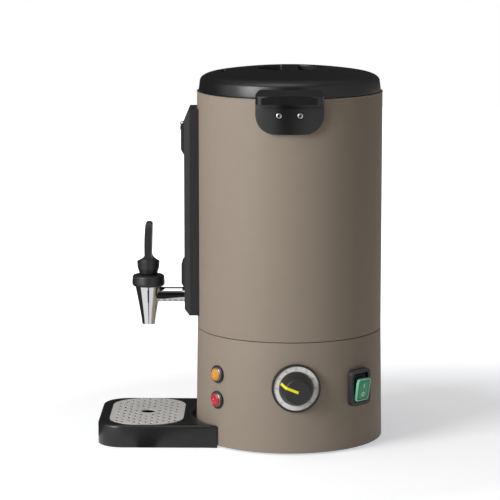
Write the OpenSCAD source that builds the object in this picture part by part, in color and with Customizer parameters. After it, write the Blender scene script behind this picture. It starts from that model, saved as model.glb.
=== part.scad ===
// Hot water urn, about 10 litres, with a tap, a drip tray and a thermostat.
// Millimetres. +Z is up, the table is z = 0 and the urn's own axis is x = y = 0.
// The tap points to -Y and the two handles stand on +X and -X.

/* [Body] */
// Outside radius of the upper casing
body_r = 120; // [112:1:128]
// How much the base widens from the seam to its bottom edge
base_flare = 2; // [0:0.5:5]
// Height of the base housing, from its bottom edge to the seam
base_h = 144; // [138:1:170]
// Height of the upper casing above the seam
casing_h = 308; // [290:1:380]
// Sheet thickness of the upper casing
casing_wall = 1.5; // [1:0.1:2.5]
// Wall of the moulded base housing
base_wall = 2.5; // [2:0.1:3.5]
// Height of the dark line between base and casing
seam_gap = 0.8; // [0.5:0.1:1.5]
// Clear height of the base edge above the table
foot_lift = 2.5; // [1.5:0.1:5]
// Radial width of the rubber foot ring
foot_w = 12; // [8:1:16]
// How far the middle of the foot ring stands inside the base's bottom edge
foot_inset = 22; // [21:1:26]

/* [Tank] */
// Air gap between the casing and the stainless tank
tank_gap = 9.5; // [8.5:0.5:13]
// Sheet thickness of the tank
tank_wall = 1.2; // [0.8:0.1:2]
// Height of the tank's inside floor above the seam
tank_floor = 13.5; // [12:0.5:16]
// How far the tank's rim stands out past the casing
rim_lip = 0.4; // [0:0.1:1]
// How far the tie rods stand inside the tank's outer wall
rod_inset = 21; // [18:1:22]
// Diameter of a tie rod
rod_d = 5; // [4:1:6]

/* [Lid] */
// How far the lid's bottom edge stays inside the casing's outer face
lid_inset = 2; // [1:0.5:6]
// Height of the lid's straight skirt
lid_skirt = 13; // [8:1:20]
// Rounding between the lid's skirt and its dome
lid_round = 15; // [8:1:16]
// Height of the middle of the lid above its bottom edge
lid_h = 31; // [29:0.5:36]
// Wall of the moulded lid
lid_wall = 3; // [2:0.1:3.5]
// Length of the finger pocket along the bar's cross direction
pocket_l = 87; // [70:1:100]
// Width of the finger pocket along the bar
pocket_w = 84; // [60:1:92]
// Width of the grip bar between the two pockets
grip_bar_w = 20; // [14:1:26]
// Depth of the finger pockets below the top of the lid
pocket_depth = 17; // [12:0.5:18]

/* [Handles] */
// Width of a handle
handle_w = 86; // [70:1:94]
// Thickness of the plate behind a handle
handle_plate = 6; // [4.5:0.5:8]
// Height of the grip shelf's lower face below the casing's rim
grip_drop = 3; // [2:0.5:6]
// Height of the grip shelf's front face
grip_t = 10; // [8:0.5:14]
// How far the grip shelf stands out from the casing
grip_reach = 24; // [20:1:32]
// Slope of the shelf's upper face in degrees
grip_slope = 16; // [10:1:20]
// Height of the plate below the grip shelf
plate_drop = 39; // [34:1:60]
// Rounding of the plate's lower corners
plate_round = 24; // [12:1:30]
// Distance between a handle's two screws
handle_screw_pitch = 26.5; // [20:0.5:40]
// Height of a handle's screws below the grip shelf
handle_screw_drop = 15.5; // [13:0.1:20]

/* [Gauge] */
// Width of the gauge panel
panel_w = 54; // [48:1:60]
// Width of the panel's front face between its chamfers
panel_face_w = 42; // [36:1:44]
// How far the panel's front face stands out from the casing
panel_depth = 16.5; // [15.5:0.5:20]
// Height of the panel's lower end above the seam
panel_foot = 17; // [10:1:18]
// How far the panel's top stays below the casing's rim
panel_drop = 21; // [16:1:34]
// Wall of the panel
panel_wall = 2.5; // [2:0.1:3]
// How far the two swells stand out from the front face
swell = 4; // [2:0.5:5]
// Outside diameter of the glass gauge tube
glass_d = 10; // [8:0.5:10.5]
// Wall of the glass gauge tube
glass_wall = 1.2; // [1:0.1:1.6]
// Width of the window in front of the tube
window_w = 13; // [10:0.5:16]

/* [Tap] */
// Distance from the casing to the tap's axis
tap_standoff = 64.5; // [62:0.5:72]
// Height of the tap's shank above the seam
shank_up = 40.4; // [38:0.2:44]
// Outside diameter of the shank
shank_d = 19.5; // [18:0.5:20]
// Water way through the shank and the spout
water_way = 11; // [8:0.5:12]
// Outside diameter of the spout's tip
spout_d = 17; // [15.5:0.1:20]
// Height of the spout's tip below the shank's axis
spout_drop = 39; // [34:0.5:50]
// Outside diameter of the black bonnet
bonnet_d = 42.8; // [41:0.2:48]
// Height of the bonnet
bonnet_h = 14.8; // [14:0.2:18]
// Diameter of the lever's base at its rim
lever_base_d = 29.4; // [26:0.2:34]
// Height of the lever's base
lever_base_h = 17; // [15:0.5:20]
// Thickness of the lever's paddle
paddle_t = 9; // [7:0.5:11]
// Width of the lever's paddle
paddle_w = 25; // [20:0.5:28]
// Height of the paddle above the lever's base
paddle_h = 52.5; // [40:0.5:70]
// Diameter of the tap's stem
stem_d = 6; // [5:0.5:7]
// Radial clearance of the stem and of the lever's pin in their bores
running_gap = 0.05; // [0.02:0.01:0.09]
// Travel that the lever gives the stem
stem_lift = 4.8; // [3:0.1:5]

/* [Controls] */
// Angle of the dial from +X towards +Y in degrees
dial_angle = 4.3; // [0:0.1:8]
// Height of the dial's centre
dial_z = 88; // [80:0.5:92]
// Outside diameter of the dial's black ring
dial_d = 62.4; // [58:0.2:66]
// Outside diameter of the white scale ring
scale_d = 57.4; // [54:0.2:57.8]
// Diameter of the knob
knob_d = 44.4; // [40:0.2:46]
// Diameter of the knob's front face
knob_face_d = 33; // [26:0.5:36]
// How far the knob stands out from the scale
knob_h = 24; // [18:0.5:28]
// Where the pointer stands, anticlockwise from the top in degrees
pointer_angle = 68; // [-120:1:135]
// Angle of the switch from +X towards +Y in degrees
switch_angle = 47; // [44:0.5:50]
// Height of the switch's centre
switch_z = 82; // [78:0.5:88]
// Width of the switch frame
switch_w = 36; // [34:0.5:40]
// Height of the switch frame
switch_h = 47; // [45:0.5:52]
// Tilt of the rocker at rest in degrees
rocker_tilt = 10; // [6:0.5:10]
// Angle of the two lamps from +X towards -Y in degrees
lamp_angle = 49.3; // [46:0.1:54]
// Height of the amber lamp
amber_z = 97; // [92:0.5:100]
// Height of the red lamp
red_z = 63.4; // [56:0.2:68]
// Outside diameter of a lamp's ring
lamp_d = 22.9; // [20:0.1:26]
// Diameter of a lamp's lens
lens_d = 15.5; // [14:0.1:16.5]
// Angle of the cord gland from +X towards +Y in degrees
gland_angle = 135; // [128:1:140]
// Height of the cord gland
gland_z = 34; // [30:1:44]

/* [Drip tray] */
// Width of the drip tray, along X
tray_w = 165; // [150:1:180]
// Distance from the tap's axis to the tray's outer end
tray_nose = 64; // [60:0.5:76]
// Height of the drip tray
tray_h = 29.5; // [24:0.5:36]
// Wall of the drip tray
tray_wall = 3; // [2:0.1:4]
// Rounding of the tray's outer corners
tray_round = 34; // [20:1:44]
// Gap between the tray and the urn at the tray's middle
tray_gap = 6; // [3:0.5:10]
// Gap between the tray and the urn at the tips of the tray's hollow end
tray_tip_gap = 0.5; // [0.4:0.1:0.9]
// Length of the drip grid, along X
grid_l = 152; // [140:1:156]
// Width of the drip grid, along Y
grid_w = 96.5; // [88:0.5:98]
// Distance from the grid to the tray's outer end
grid_margin = 14.2; // [13:0.1:18]
// Rounding of the drip grid's corners
grid_round = 40; // [20:1:44]
// Sheet thickness of the drip grid
grid_t = 1.2; // [0.8:0.1:1.5]
// Distance between the grid's columns of holes
hole_pitch_y = 7.6; // [7:0.1:9]
// Distance between the holes in one column
hole_pitch_x = 16.4; // [14:0.2:20]
// Width of a grid slot, along Y
slot_w = 3; // [2:0.1:4]
// Length of a grid slot, along X
slot_l = 8; // [6:0.5:9]

/* [Hidden] */
$fn = 64;

// Clearance between pieces that seat on each other's curved faces
fit = 0.1;
// Clearance between pieces of different bodies
free = 0.3;
// What a cutting solid runs past the face it opens
over = 1;

// Heights of the body's main levels
base_bottom_r = body_r + base_flare;
foot_r = base_bottom_r - foot_inset;
seam_z = foot_lift + base_h;
rim_z = seam_z + casing_h;
casing_in_r = body_r - casing_wall;
flare_slope = base_flare / base_h;

// Base plate, foot ring and the fasteners under the base
plate_z = foot_lift + 3.5;
plate_t = 2;
plate_top = plate_z + plate_t;
plate_r = base_bottom_r - base_wall - free;
screw_d = 4;
screw_head_r = 3.9;
screw_head_t = 2.2;
boss_r = 5.5;
boss_h = 22;
boss_circle = plate_r - boss_r - 2;
boss_angles = [70, 160, 250, 340];
peg_r = 2.5;
peg_angles = [0:60:300];
rod_angles = [25.5, 145.5, 265.5];
rod_nut_t = 3.2;

// Tank
tank_r = casing_in_r - tank_gap;
rod_circle = tank_r - rod_inset;
tank_in_r = tank_r - tank_wall;
tank_in_z = seam_z + tank_floor;
tank_z = tank_in_z - tank_wall;
rim_top = rim_z + tank_wall;
stud_r = 4;
tank_corner = 1.8;

// Heater under the tank's floor
heater_r = rod_circle - 8;
heater_t = 4;
heater_z = tank_z - heater_t;
element_ring_r = 62;
element_r = 4;
element_z = heater_z - element_r - fit / 2;
element_gap_angle = 60;
element_leg = 20;
clamp_t = 3;
clamp_w = 24;
clamp_z = element_z - element_r - fit / 2 - clamp_t;
heater_nut_t = 6.5;

// Dial, knob and thermostat, measured outwards from the urn's axis
dial_wall_r = body_r + flare_slope * (seam_z - dial_z);
scale_seat = dial_wall_r + 1;
scale_t = 1.4;
scale_face = scale_seat + scale_t;
bezel_face = scale_face + 1.3;
bezel_floor = dial_wall_r - 9;
bezel_floor_t = 3;
bezel_neck_r = dial_d / 2 - 6.7;
cup_r = bezel_neck_r - 2.5;
knob_r = knob_d / 2;
knob_back = scale_face + 0.4;
knob_face = knob_back + knob_h;
knob_face_r = knob_face_d / 2;
knob_band = 3;
knob_edge = 2;
shaft_r = 3;
shaft_in = bezel_floor - 11;
thermostat_size = [34, 44, 20];
thermostat_screw_x = 14;
pointer_w = 3.4;
pointer_depth = 1.4;
pointer_proud = 0.3;
bulb_pos = [30, 34, heater_z - 3.2];
bulb_r = 3;
capillary_r = 1;
// Each point's X and Y, and its share of the way up from the thermostat to the bulb
capillary_plan = [
    [30, 33, 1], [30, 38, 0.995], [30.5, 42, 0.945], [33, 44.5, 0.843], [38, 45.5, 0.736],
    [46, 45, 0.629], [56, 42, 0.534], [66, 35, 0.463], [76, 27, 0.392], [86, 20, 0.321],
    [94, 15.5, 0.226], [98, 13, 0.131], [99, 12, 0]
];
capillary_foot = dial_z + thermostat_size.y / 2 - 0.5;
capillary_points = [for (p = capillary_plan)
    [p.x, p.y, capillary_foot + p.z * (bulb_pos.z - capillary_foot)]];

// Switch, measured outwards from the urn's axis
switch_wall_r = body_r + flare_slope * (seam_z - switch_z);
frame_face = switch_wall_r + 6;
frame_lip = 4.5;
switch_cut = [22, 30];
rocker_pivot = switch_wall_r - 6.5;
rocker_reach = 17;
rocker_cap = [24, 30, 3];
rocker_neck = [13, 17];
boot_hole = [15, 23];
trunnion_r = 2;

// Lamps
lamp_neck_r = lens_d / 2 - 0.5;
lamp_depth = 18;
lamp_face = 3;
lamp_step = 4.2;
lens_reach = 6.4;
lamp_collar = 1.9;

// Cord gland
gland_thread_r = 8;
gland_nut_d = 20;
gland_bore_r = 4.5;
gland_hex_r = 12.5;

// Overheat cut-out with its reset button
cutout_pos = [-45, 30];
cutout_neck_r = 5;
button_r = 3.5;
button_travel = 1.5;

// Gauge on the front, measured outwards from the urn's axis
panel_z = seam_z + panel_foot;
panel_top = rim_z - panel_drop;
panel_h = panel_top - panel_z;
panel_front = body_r + panel_depth;
panel_inside = panel_front - panel_wall;
panel_back = body_r - 10;
panel_chamfer = (panel_w - panel_face_w) / 2;
block_front = panel_inside - 0.5;
glass_out = body_r + 7.2;
glass_r = glass_d / 2;
lower_block_z = seam_z + shank_up - 11;
lower_block_h = 32;
socket_z = seam_z + shank_up + shank_d / 2 + 2;
upper_block_z = panel_top - 48;
upper_block_h = 28;
glass_top = upper_block_z + 11;
seal_h = 4;
seal_r = glass_r + 1.5;
plug_z = upper_block_z + 23.5;
plug_r = 6;
panel_screw_x = 18;
panel_screw_r = 1.6;
panel_screw_reach = 10;
panel_screw_heights = [panel_z + 98, panel_z + 188];

// Tap
tap_reach = body_r + tap_standoff;
shank_z = seam_z + shank_up;
shank_r = shank_d / 2;
shank_end = tank_in_r - 12;
tip_z = shank_z - spout_drop;
bonnet_r = bonnet_d / 2;
bonnet_z = shank_z + 12;
bonnet_top = bonnet_z + bonnet_h;
cone_top_r = bonnet_r - 4;
neck_r = cone_top_r - 2;
neck_top = bonnet_z + 7.7;
chamber_r = neck_r - 3.4;
seat_z = shank_z - 5.9;
water_r = water_way / 2;
stem_r = stem_d / 2;
cup_out_r = chamber_r - 2.4;
cup_top = seat_z + 10;
stem_flange_r = 6.4;
stem_flange_t = 1.2;
lever_gap = 0.4;
lever_z = bonnet_top + lever_gap;
lever_pin_z = lever_z + 7;
lever_rim_z = lever_z + lever_base_h;
lever_tilt = 25;
lever_foot_r = stem_lift / tan(lever_tilt);
paddle_top = lever_rim_z + paddle_h;
pin_r = 1.5;
spring_wire_r = 0.8;
spring_r = stem_r + 2.2;
spring_turns = 5;

// Handles
shelf_z = rim_z - grip_drop;
plate_bottom = shelf_z - plate_drop;
handle_screw_z = shelf_z - handle_screw_drop;
handle_in_r = body_r + fit;
handle_out_r = handle_in_r + handle_plate;
handle_screw_r = 2;
nut_plate_h = 16;
neck_h = 6;
neck_depth = 2.5;
shelf_corner = 9;

// Lid
lid_r = body_r - lid_inset;
lid_z = rim_top + 0.2;
lid_top = lid_z + lid_h;
lid_shoulder_r = lid_r - 20;
lid_dome_drop = 7.6;
lid_draft = 1.6;
liner_z = rim_z - 5;
liner_t = 1;
liner_r = tank_in_r - 1.8;
lid_boss_r = 5.5;
lid_boss_circle = 70;
lid_boss_angles = [30, 150, 270];
lid_screw_l = 13;

// Drip tray
tray_x = tray_w / 2;
tray_end = tap_reach + tray_nose;
tray_bite = base_bottom_r + tray_gap - sqrt(pow(base_bottom_r + tray_tip_gap, 2) - pow(tray_x, 2));
tray_hollow_r = (pow(tray_x, 2) + pow(tray_bite, 2)) / (2 * tray_bite);
tray_hollow_y = tray_hollow_r - base_bottom_r - tray_gap;
grid_y = -(tray_end - grid_margin - grid_w / 2);
grid_seat = tray_h - 0.9;
well_margin = 5;
drain_r = 9.5;
grid_gap = 0.8;

// --- Shapes that several pieces use ---

// Stands its children on the wall: their +Z points outwards, their +Y up
module at_wall(angle, z) {
    translate([0, 0, z]) rotate([0, 0, angle]) rotate([90, 0, 90]) children();
}

// Extrudes an outline drawn in Y and Z along X, centred
module along_x(width) {
    translate([-width / 2, 0, 0]) rotate([90, 0, 90]) linear_extrude(width) children();
}

module tube(r_out, r_in, h) {
    difference() {
        cylinder(r = r_out, h = h);
        translate([0, 0, -over]) cylinder(r = r_in, h = h + 2 * over);
    }
}

module rounded_rect(size, r) {
    square([size.x - 2 * r, size.y], center = true);
    square([size.x, size.y - 2 * r], center = true);
    for (sx = [-1, 1], sy = [-1, 1])
        translate([sx * (size.x / 2 - r), sy * (size.y / 2 - r)]) circle(r);
}

module hex_nut(flats, bore_r, h) {
    difference() {
        cylinder(r = flats / sqrt(3), h = h, $fn = 6);
        translate([0, 0, -over]) cylinder(r = bore_r, h = h + 2 * over);
    }
}

// A screw whose head's seat is at z = 0 and whose shank points to +Z
module screw(r, length, head_r, head_t) {
    difference() {
        union() {
            cylinder(r = r, h = length);
            translate([0, 0, -head_t]) cylinder(r = head_r, h = head_t);
        }
        translate([0, 0, -head_t - over]) cylinder(r = head_r * 0.45, h = over + head_t * 0.6, $fn = 6);
    }
}

// The base housing's outer surface as a solid, made larger by grow
module base_body(grow) {
    cylinder(r1 = body_r + flare_slope * seam_z + grow, r2 = body_r + grow, h = seam_z, $fn = 240);
}

// A closed tube of radius r along points; ref must not run along any stretch
module swept_tube(points, r, ref, sides = 8) {
    n = len(points);
    function unit(v) = v / norm(v);
    function heading(i) = unit(points[min(i + 1, n - 1)] - points[max(i - 1, 0)]);
    function ring(i) =
        let (t = heading(i), u = unit(cross(t, ref)), v = cross(t, u))
        [for (k = [0:sides - 1]) points[i] + r * (cos(360 * k / sides) * u + sin(360 * k / sides) * v)];
    walls = [for (i = [0:n - 2], k = [0:sides - 1])
        let (a = i * sides + k, b = i * sides + (k + 1) % sides)
        each [[a, a + sides, b], [b, a + sides, b + sides]]];
    far = (n - 1) * sides;
    caps = [for (k = [1:sides - 2]) each [[0, k, k + 1], [far, far + k + 1, far + k]]];
    polyhedron(points = [for (i = [0:n - 1]) each ring(i)], faces = concat(walls, caps));
}

// --- Casing, base and foot ---

module outer_casing() {
    color([0.60, 0.54, 0.47]) difference() {
        translate([0, 0, seam_z]) tube(body_r, casing_in_r, casing_h);
        at_wall(-90, shank_z) cylinder(r = shank_r + 0.4, h = body_r + over);
        for (side = [0, 180], x = [-1, 1])
            at_wall(side, handle_screw_z) translate([x * handle_screw_pitch / 2, 0, 0])
                cylinder(r = handle_screw_r + fit, h = body_r + over);
        for (z = panel_screw_heights, x = [-1, 1])
            at_wall(-90, z) translate([x * panel_screw_x, 0, 0])
                cylinder(r = panel_screw_r + fit, h = body_r + over);
    }
}

module base_housing() {
    collar_r = casing_in_r - free;
    collar_in_r = collar_r - base_wall;
    collar_h = 6;
    ledge_z = seam_z - seam_gap;
    color([0.58, 0.52, 0.45]) difference() {
        union() {
            rotate_extrude() polygon([
                [base_bottom_r, foot_lift], [body_r, ledge_z], [collar_r, ledge_z],
                [collar_r, seam_z + collar_h], [collar_in_r, seam_z + collar_h],
                [collar_in_r, ledge_z - 5], [body_r - base_wall, ledge_z - 10],
                [base_bottom_r - base_wall, foot_lift]
            ]);
            for (a = boss_angles) rotate([0, 0, a]) translate([0, 0, plate_top]) {
                translate([boss_circle, 0, 0]) cylinder(r = boss_r, h = boss_h);
                translate([boss_circle, -3, 0]) cube([plate_r + 1 - boss_circle, 6, boss_h]);
            }
        }
        for (a = boss_angles) rotate([0, 0, a]) translate([boss_circle, 0, plate_top - over])
            cylinder(r = screw_d / 2 + fit / 2, h = boss_h - 4);
        at_wall(dial_angle, dial_z) translate([0, 0, body_r - 20]) cylinder(r = bezel_neck_r + fit, h = 40);
        at_wall(switch_angle, switch_z) translate([0, 0, body_r - 20])
            linear_extrude(40) square(switch_cut + [1, 1] * 2 * fit, center = true);
        for (z = [amber_z, red_z]) at_wall(-lamp_angle, z) translate([0, 0, body_r - 20])
            cylinder(r = lamp_neck_r + fit, h = 40);
        at_wall(gland_angle, gland_z) translate([0, 0, body_r - 20])
            cylinder(r = gland_thread_r + fit, h = 40);
    }
}

module seam_ring() {
    color([0.10, 0.10, 0.10]) translate([0, 0, seam_z - seam_gap])
        tube(body_r - 0.6, casing_in_r - free + fit, seam_gap);
}

module base_plate() {
    color([0.66, 0.67, 0.68]) difference() {
        translate([0, 0, plate_z]) cylinder(r = plate_r, h = plate_t);
        translate([0, 0, plate_z - over]) {
            for (a = boss_angles) rotate([0, 0, a]) translate([boss_circle, 0, 0])
                cylinder(r = screw_d / 2 + 0.2, h = 5);
            for (a = peg_angles) rotate([0, 0, a]) translate([foot_r, 0, 0])
                cylinder(r = peg_r + fit, h = 5);
            for (a = rod_angles) rotate([0, 0, a]) translate([rod_circle, 0, 0])
                cylinder(r = rod_d / 2 + 0.2, h = 5);
            translate(cutout_pos) cylinder(r = cutout_neck_r + fit, h = 5);
        }
    }
}

module base_screws() {
    color([0.75, 0.76, 0.78]) for (a = boss_angles) rotate([0, 0, a]) translate([boss_circle, 0, plate_z])
        screw(screw_d / 2, boss_h - 6, screw_head_r, screw_head_t);
}

module foot_ring() {
    color([0.12, 0.12, 0.12]) {
        tube(foot_r + foot_w / 2, foot_r - foot_w / 2, plate_z);
        for (a = peg_angles) rotate([0, 0, a]) translate([foot_r, 0, plate_z - 0.5]) {
            cylinder(r = peg_r, h = plate_t + 2.3);
            translate([0, 0, plate_t + 0.6]) cylinder(r1 = peg_r + 1.3, r2 = peg_r, h = 1.7);
        }
    }
}

// --- Tank and heater ---

module inner_tank() {
    color([0.78, 0.79, 0.80]) difference() {
        union() {
            rotate_extrude() polygon([
                [0, tank_z], [tank_r - tank_corner, tank_z], [tank_r, tank_z + tank_corner], [tank_r, rim_z],
                [body_r + rim_lip, rim_z], [body_r + rim_lip, rim_top], [tank_in_r, rim_top],
                [tank_in_r, tank_in_z + tank_corner], [tank_in_r - tank_corner, tank_in_z], [0, tank_in_z]
            ]);
            translate([0, 0, clamp_z - heater_nut_t - 2])
                cylinder(r = stud_r, h = tank_in_z - clamp_z + heater_nut_t + 1.5);
        }
        at_wall(-90, shank_z) translate([0, 0, tank_in_r - 20]) cylinder(r = shank_r + 0.3, h = 40);
    }
}

module tie_rods() {
    color([0.70, 0.71, 0.73]) for (a = rod_angles) rotate([0, 0, a]) translate([rod_circle, 0, 0]) {
        translate([0, 0, plate_z - rod_nut_t - 0.4])
            cylinder(r = rod_d / 2, h = tank_z - plate_z + rod_nut_t + 0.4);
        translate([0, 0, plate_z - rod_nut_t]) hex_nut(rod_d * 1.6, rod_d / 2 + fit / 2, rod_nut_t);
    }
}

module heater_plate() {
    color([0.74, 0.75, 0.77]) translate([0, 0, heater_z]) tube(heater_r, stud_r + 0.2, heater_t);
}

module heating_element() {
    bend = 6;
    half_gap = element_gap_angle / 2;
    function spoke(a) = element_ring_r * [cos(a), sin(a), 0];
    function turn(a, side, b) =
        spoke(a) - side * bend * cos(b) * [-sin(a), cos(a), 0] + [0, 0, bend * (sin(b) - 1)];
    rise = concat([turn(half_gap, 1, 0) - [0, 0, element_leg]], [for (b = [0:18:72]) turn(half_gap, 1, b)]);
    fall = concat([for (b = [72:-18:0]) turn(-half_gap, -1, b)],
        [turn(-half_gap, -1, 0) - [0, 0, element_leg]]);
    color([0.45, 0.43, 0.42]) translate([0, 0, element_z]) {
        around = [for (a = [half_gap:6:360 - half_gap]) spoke(a)];
        swept_tube(concat(rise, around, fall), element_r, [1, 0, 1], 12);
        for (side = [-1, 1]) translate(turn(side * half_gap, side, 0) - [0, 0, element_leg + 10])
            cylinder(r = 1.8, h = 11);
    }
}

module heater_clamp() {
    clamp_l = 2 * (element_ring_r + element_r + 4);
    color([0.70, 0.71, 0.73]) difference() {
        translate([-clamp_w / 2, -clamp_l / 2, clamp_z]) cube([clamp_w, clamp_l, clamp_t]);
        translate([0, 0, clamp_z - over]) cylinder(r = stud_r + 0.2, h = clamp_t + 2 * over);
    }
}

module heater_nut() {
    color([0.75, 0.76, 0.78]) translate([0, 0, clamp_z - heater_nut_t])
        hex_nut(13, stud_r + fit / 2, heater_nut_t);
}

// --- Thermostat, cut-out and electrical pieces ---

module thermostat_body() {
    hole_depth = 14;
    color([0.20, 0.20, 0.22]) at_wall(dial_angle, dial_z) difference() {
        translate([0, 0, bezel_floor - thermostat_size.z / 2]) cube(thermostat_size, center = true);
        translate([0, 0, bezel_floor - hole_depth]) cylinder(r = shaft_r + free, h = hole_depth + over);
        for (x = [-1, 1]) translate([x * thermostat_screw_x, 0, bezel_floor - hole_depth])
            cylinder(r = 1.55, h = hole_depth + over);
    }
}

module thermostat_shaft() {
    color([0.75, 0.76, 0.78]) at_wall(dial_angle, dial_z)
        translate([0, 0, shaft_in]) cylinder(r = shaft_r, h = knob_face - 5 - shaft_in);
}

module thermostat_bulb() {
    color([0.72, 0.45, 0.30]) {
        translate(bulb_pos) rotate([90, 0, 0]) cylinder(r = bulb_r, h = 2 * bulb_pos.y);
        swept_tube(capillary_points, capillary_r, [1, 0.8, 0.4]);
    }
}

module thermostat_screws() {
    color([0.75, 0.76, 0.78]) at_wall(dial_angle, dial_z) for (x = [-1, 1])
        translate([x * thermostat_screw_x, 0, bezel_floor + bezel_floor_t]) rotate([180, 0, 0])
            screw(1.5, 12, 2.7, 1.8);
}

// The cut-out stands on the base plate; its ring nut holds it from below
module overheat_cutout() {
    neck_drop = 2.2;
    nut_t = 1.8;
    body = [28, 28, 20];
    color([0.16, 0.16, 0.17]) translate([cutout_pos.x, cutout_pos.y, 0]) {
        difference() {
            union() {
                translate([-body.x / 2, -body.y / 2, plate_top]) cube(body);
                translate([0, 0, plate_z - neck_drop])
                    cylinder(r = cutout_neck_r, h = plate_t + neck_drop + over);
            }
            translate([0, 0, plate_z - neck_drop - over]) cylinder(r = button_r + running_gap, h = 16);
        }
        translate([0, 0, plate_z - nut_t]) hex_nut(13, cutout_neck_r + fit / 2, nut_t);
    }
}

module reset_button() {
    color([0.75, 0.10, 0.08]) translate([cutout_pos.x, cutout_pos.y, plate_z - 4])
        cylinder(r = button_r, h = 12);
}

module terminal_block() {
    block = [46, 22, 18];
    color([0.88, 0.86, 0.80]) translate([-10, -55, plate_top]) difference() {
        translate([-block.x / 2, -block.y / 2, 0]) cube(block);
        for (x = [-15, 0, 15]) {
            translate([x, 0, 9]) rotate([90, 0, 0]) cylinder(r = 2.5, h = block.y + 2 * over, center = true);
            for (y = [-6, 6]) translate([x, y, 9]) cylinder(r = 2, h = 9 + over);
        }
    }
}

module earth_stud() {
    color([0.80, 0.70, 0.40]) translate([40, -52, plate_top]) {
        cylinder(r = 2.5, h = 16);
        translate([0, 0, 4]) hex_nut(8, 2.5 + fit / 2, 4);
        tube(5, 2.5 + fit / 2, 3.9);
    }
}

// The gland's body and its lock nut inside the wall
module cord_gland() {
    wall_r = body_r + flare_slope * (seam_z - gland_z);
    inner_wall = wall_r - base_wall;
    gland_nose = 12;
    color([0.10, 0.10, 0.10]) difference() {
        union() {
            difference() {
                at_wall(gland_angle, gland_z) {
                    translate([0, 0, wall_r - 2]) cylinder(r = gland_hex_r, h = 8, $fn = 6);
                    translate([0, 0, wall_r + 5])
                        cylinder(r1 = gland_hex_r - 2.2, r2 = gland_hex_r - 5, h = gland_nose);
                }
                base_body(fit);
            }
            at_wall(gland_angle, gland_z) translate([0, 0, wall_r - 16])
                cylinder(r = gland_thread_r, h = 18);
        }
        at_wall(gland_angle, gland_z) translate([0, 0, wall_r - 20]) cylinder(r = gland_bore_r, h = 50);
    }
    color([0.10, 0.10, 0.10]) at_wall(gland_angle, gland_z) translate([0, 0, inner_wall - 6])
        hex_nut(gland_nut_d, gland_thread_r + fit / 2, 5);
}

// --- Dial ---

module dial_bezel() {
    color([0.08, 0.08, 0.08]) difference() {
        union() {
            difference() {
                at_wall(dial_angle, dial_z) translate([0, 0, bezel_floor])
                    cylinder(r = dial_d / 2, h = bezel_face - bezel_floor);
                base_body(fit);
            }
            at_wall(dial_angle, dial_z) translate([0, 0, bezel_floor])
                cylinder(r = bezel_neck_r, h = scale_seat - bezel_floor);
        }
        at_wall(dial_angle, dial_z) {
            translate([0, 0, scale_seat]) cylinder(r = scale_d / 2 + fit, h = 20);
            translate([0, 0, bezel_floor + bezel_floor_t]) cylinder(r = cup_r, h = 20);
            translate([0, 0, bezel_floor - over]) cylinder(r = shaft_r + running_gap, h = 20);
            for (x = [-1, 1]) translate([x * thermostat_screw_x, 0, bezel_floor - over])
                cylinder(r = 1.6, h = 20);
        }
    }
}

module dial_scale() {
    color([0.92, 0.92, 0.91]) at_wall(dial_angle, dial_z) translate([0, 0, scale_seat])
        tube(scale_d / 2, cup_r - 4, scale_t);
}

// Half of the knob's outline from its back to the middle of its face, made larger by grow
function knob_outline(grow) = concat(
    [[knob_r + grow, knob_back], [knob_r + grow, knob_back + knob_band]],
    [for (a = [0:15:90])
        [knob_face_r - knob_edge, knob_face - knob_edge] + (knob_edge + grow) * [cos(a), sin(a)]],
    [[0, knob_face + grow]]
);

// The pointer's bar, which runs over the knob's face and down its side
module pointer_bar(gap) {
    outer = pointer_proud + gap;
    inner = -pointer_depth - gap;
    rotate([0, 0, pointer_angle]) along_x(pointer_w + 2 * gap) intersection() {
        difference() {
            polygon(concat([[-3, knob_back]], knob_outline(outer), [[-3, knob_face + outer]]));
            polygon(concat([[-4, knob_back - over]], knob_outline(inner), [[-4, knob_face + inner]]));
        }
        translate([-1 - gap, knob_back + knob_band + 3 - gap]) square([knob_r + 2, knob_h]);
    }
}

module control_knob() {
    hub_r = 6;
    color([0.10, 0.10, 0.10]) at_wall(dial_angle, dial_z) difference() {
        union() {
            rotate_extrude() polygon(concat([[0, knob_back]], knob_outline(0)));
            translate([0, 0, bezel_floor + bezel_floor_t + 1]) cylinder(r = hub_r, h = 10);
        }
        translate([0, 0, bezel_floor])
            cylinder(r = shaft_r + running_gap, h = knob_face - 4.9 - bezel_floor);
        pointer_bar(fit);
    }
}

module knob_pointer() {
    color([0.95, 0.93, 0.10]) at_wall(dial_angle, dial_z) pointer_bar(0);
}

// --- Rocker switch ---

module switch_frame() {
    inside = [switch_w, switch_h] - [1, 1] * 2 * frame_lip;
    color([0.09, 0.09, 0.09]) difference() {
        at_wall(switch_angle, switch_z) difference() {
            translate([0, 0, switch_wall_r - 6]) linear_extrude(frame_face - switch_wall_r + 6)
                rounded_rect([switch_w, switch_h], 7);
            translate([0, 0, switch_wall_r - 8]) linear_extrude(20) rounded_rect(inside, 4);
        }
        base_body(fit);
    }
}

module switch_boot() {
    inside = [switch_w, switch_h] - [1, 1] * (2 * frame_lip + 2 * fit);
    color([0.07, 0.07, 0.07]) difference() {
        at_wall(switch_angle, switch_z) difference() {
            union() {
                translate([0, 0, switch_wall_r - 3]) linear_extrude(4.2) rounded_rect(inside, 4);
                translate([0, 0, switch_wall_r]) linear_extrude(3) rounded_rect(inside - [5, 6], 3);
            }
            translate([0, 0, switch_wall_r - 8]) linear_extrude(20) square(boot_hole, center = true);
        }
        base_body(fit);
    }
}

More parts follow.
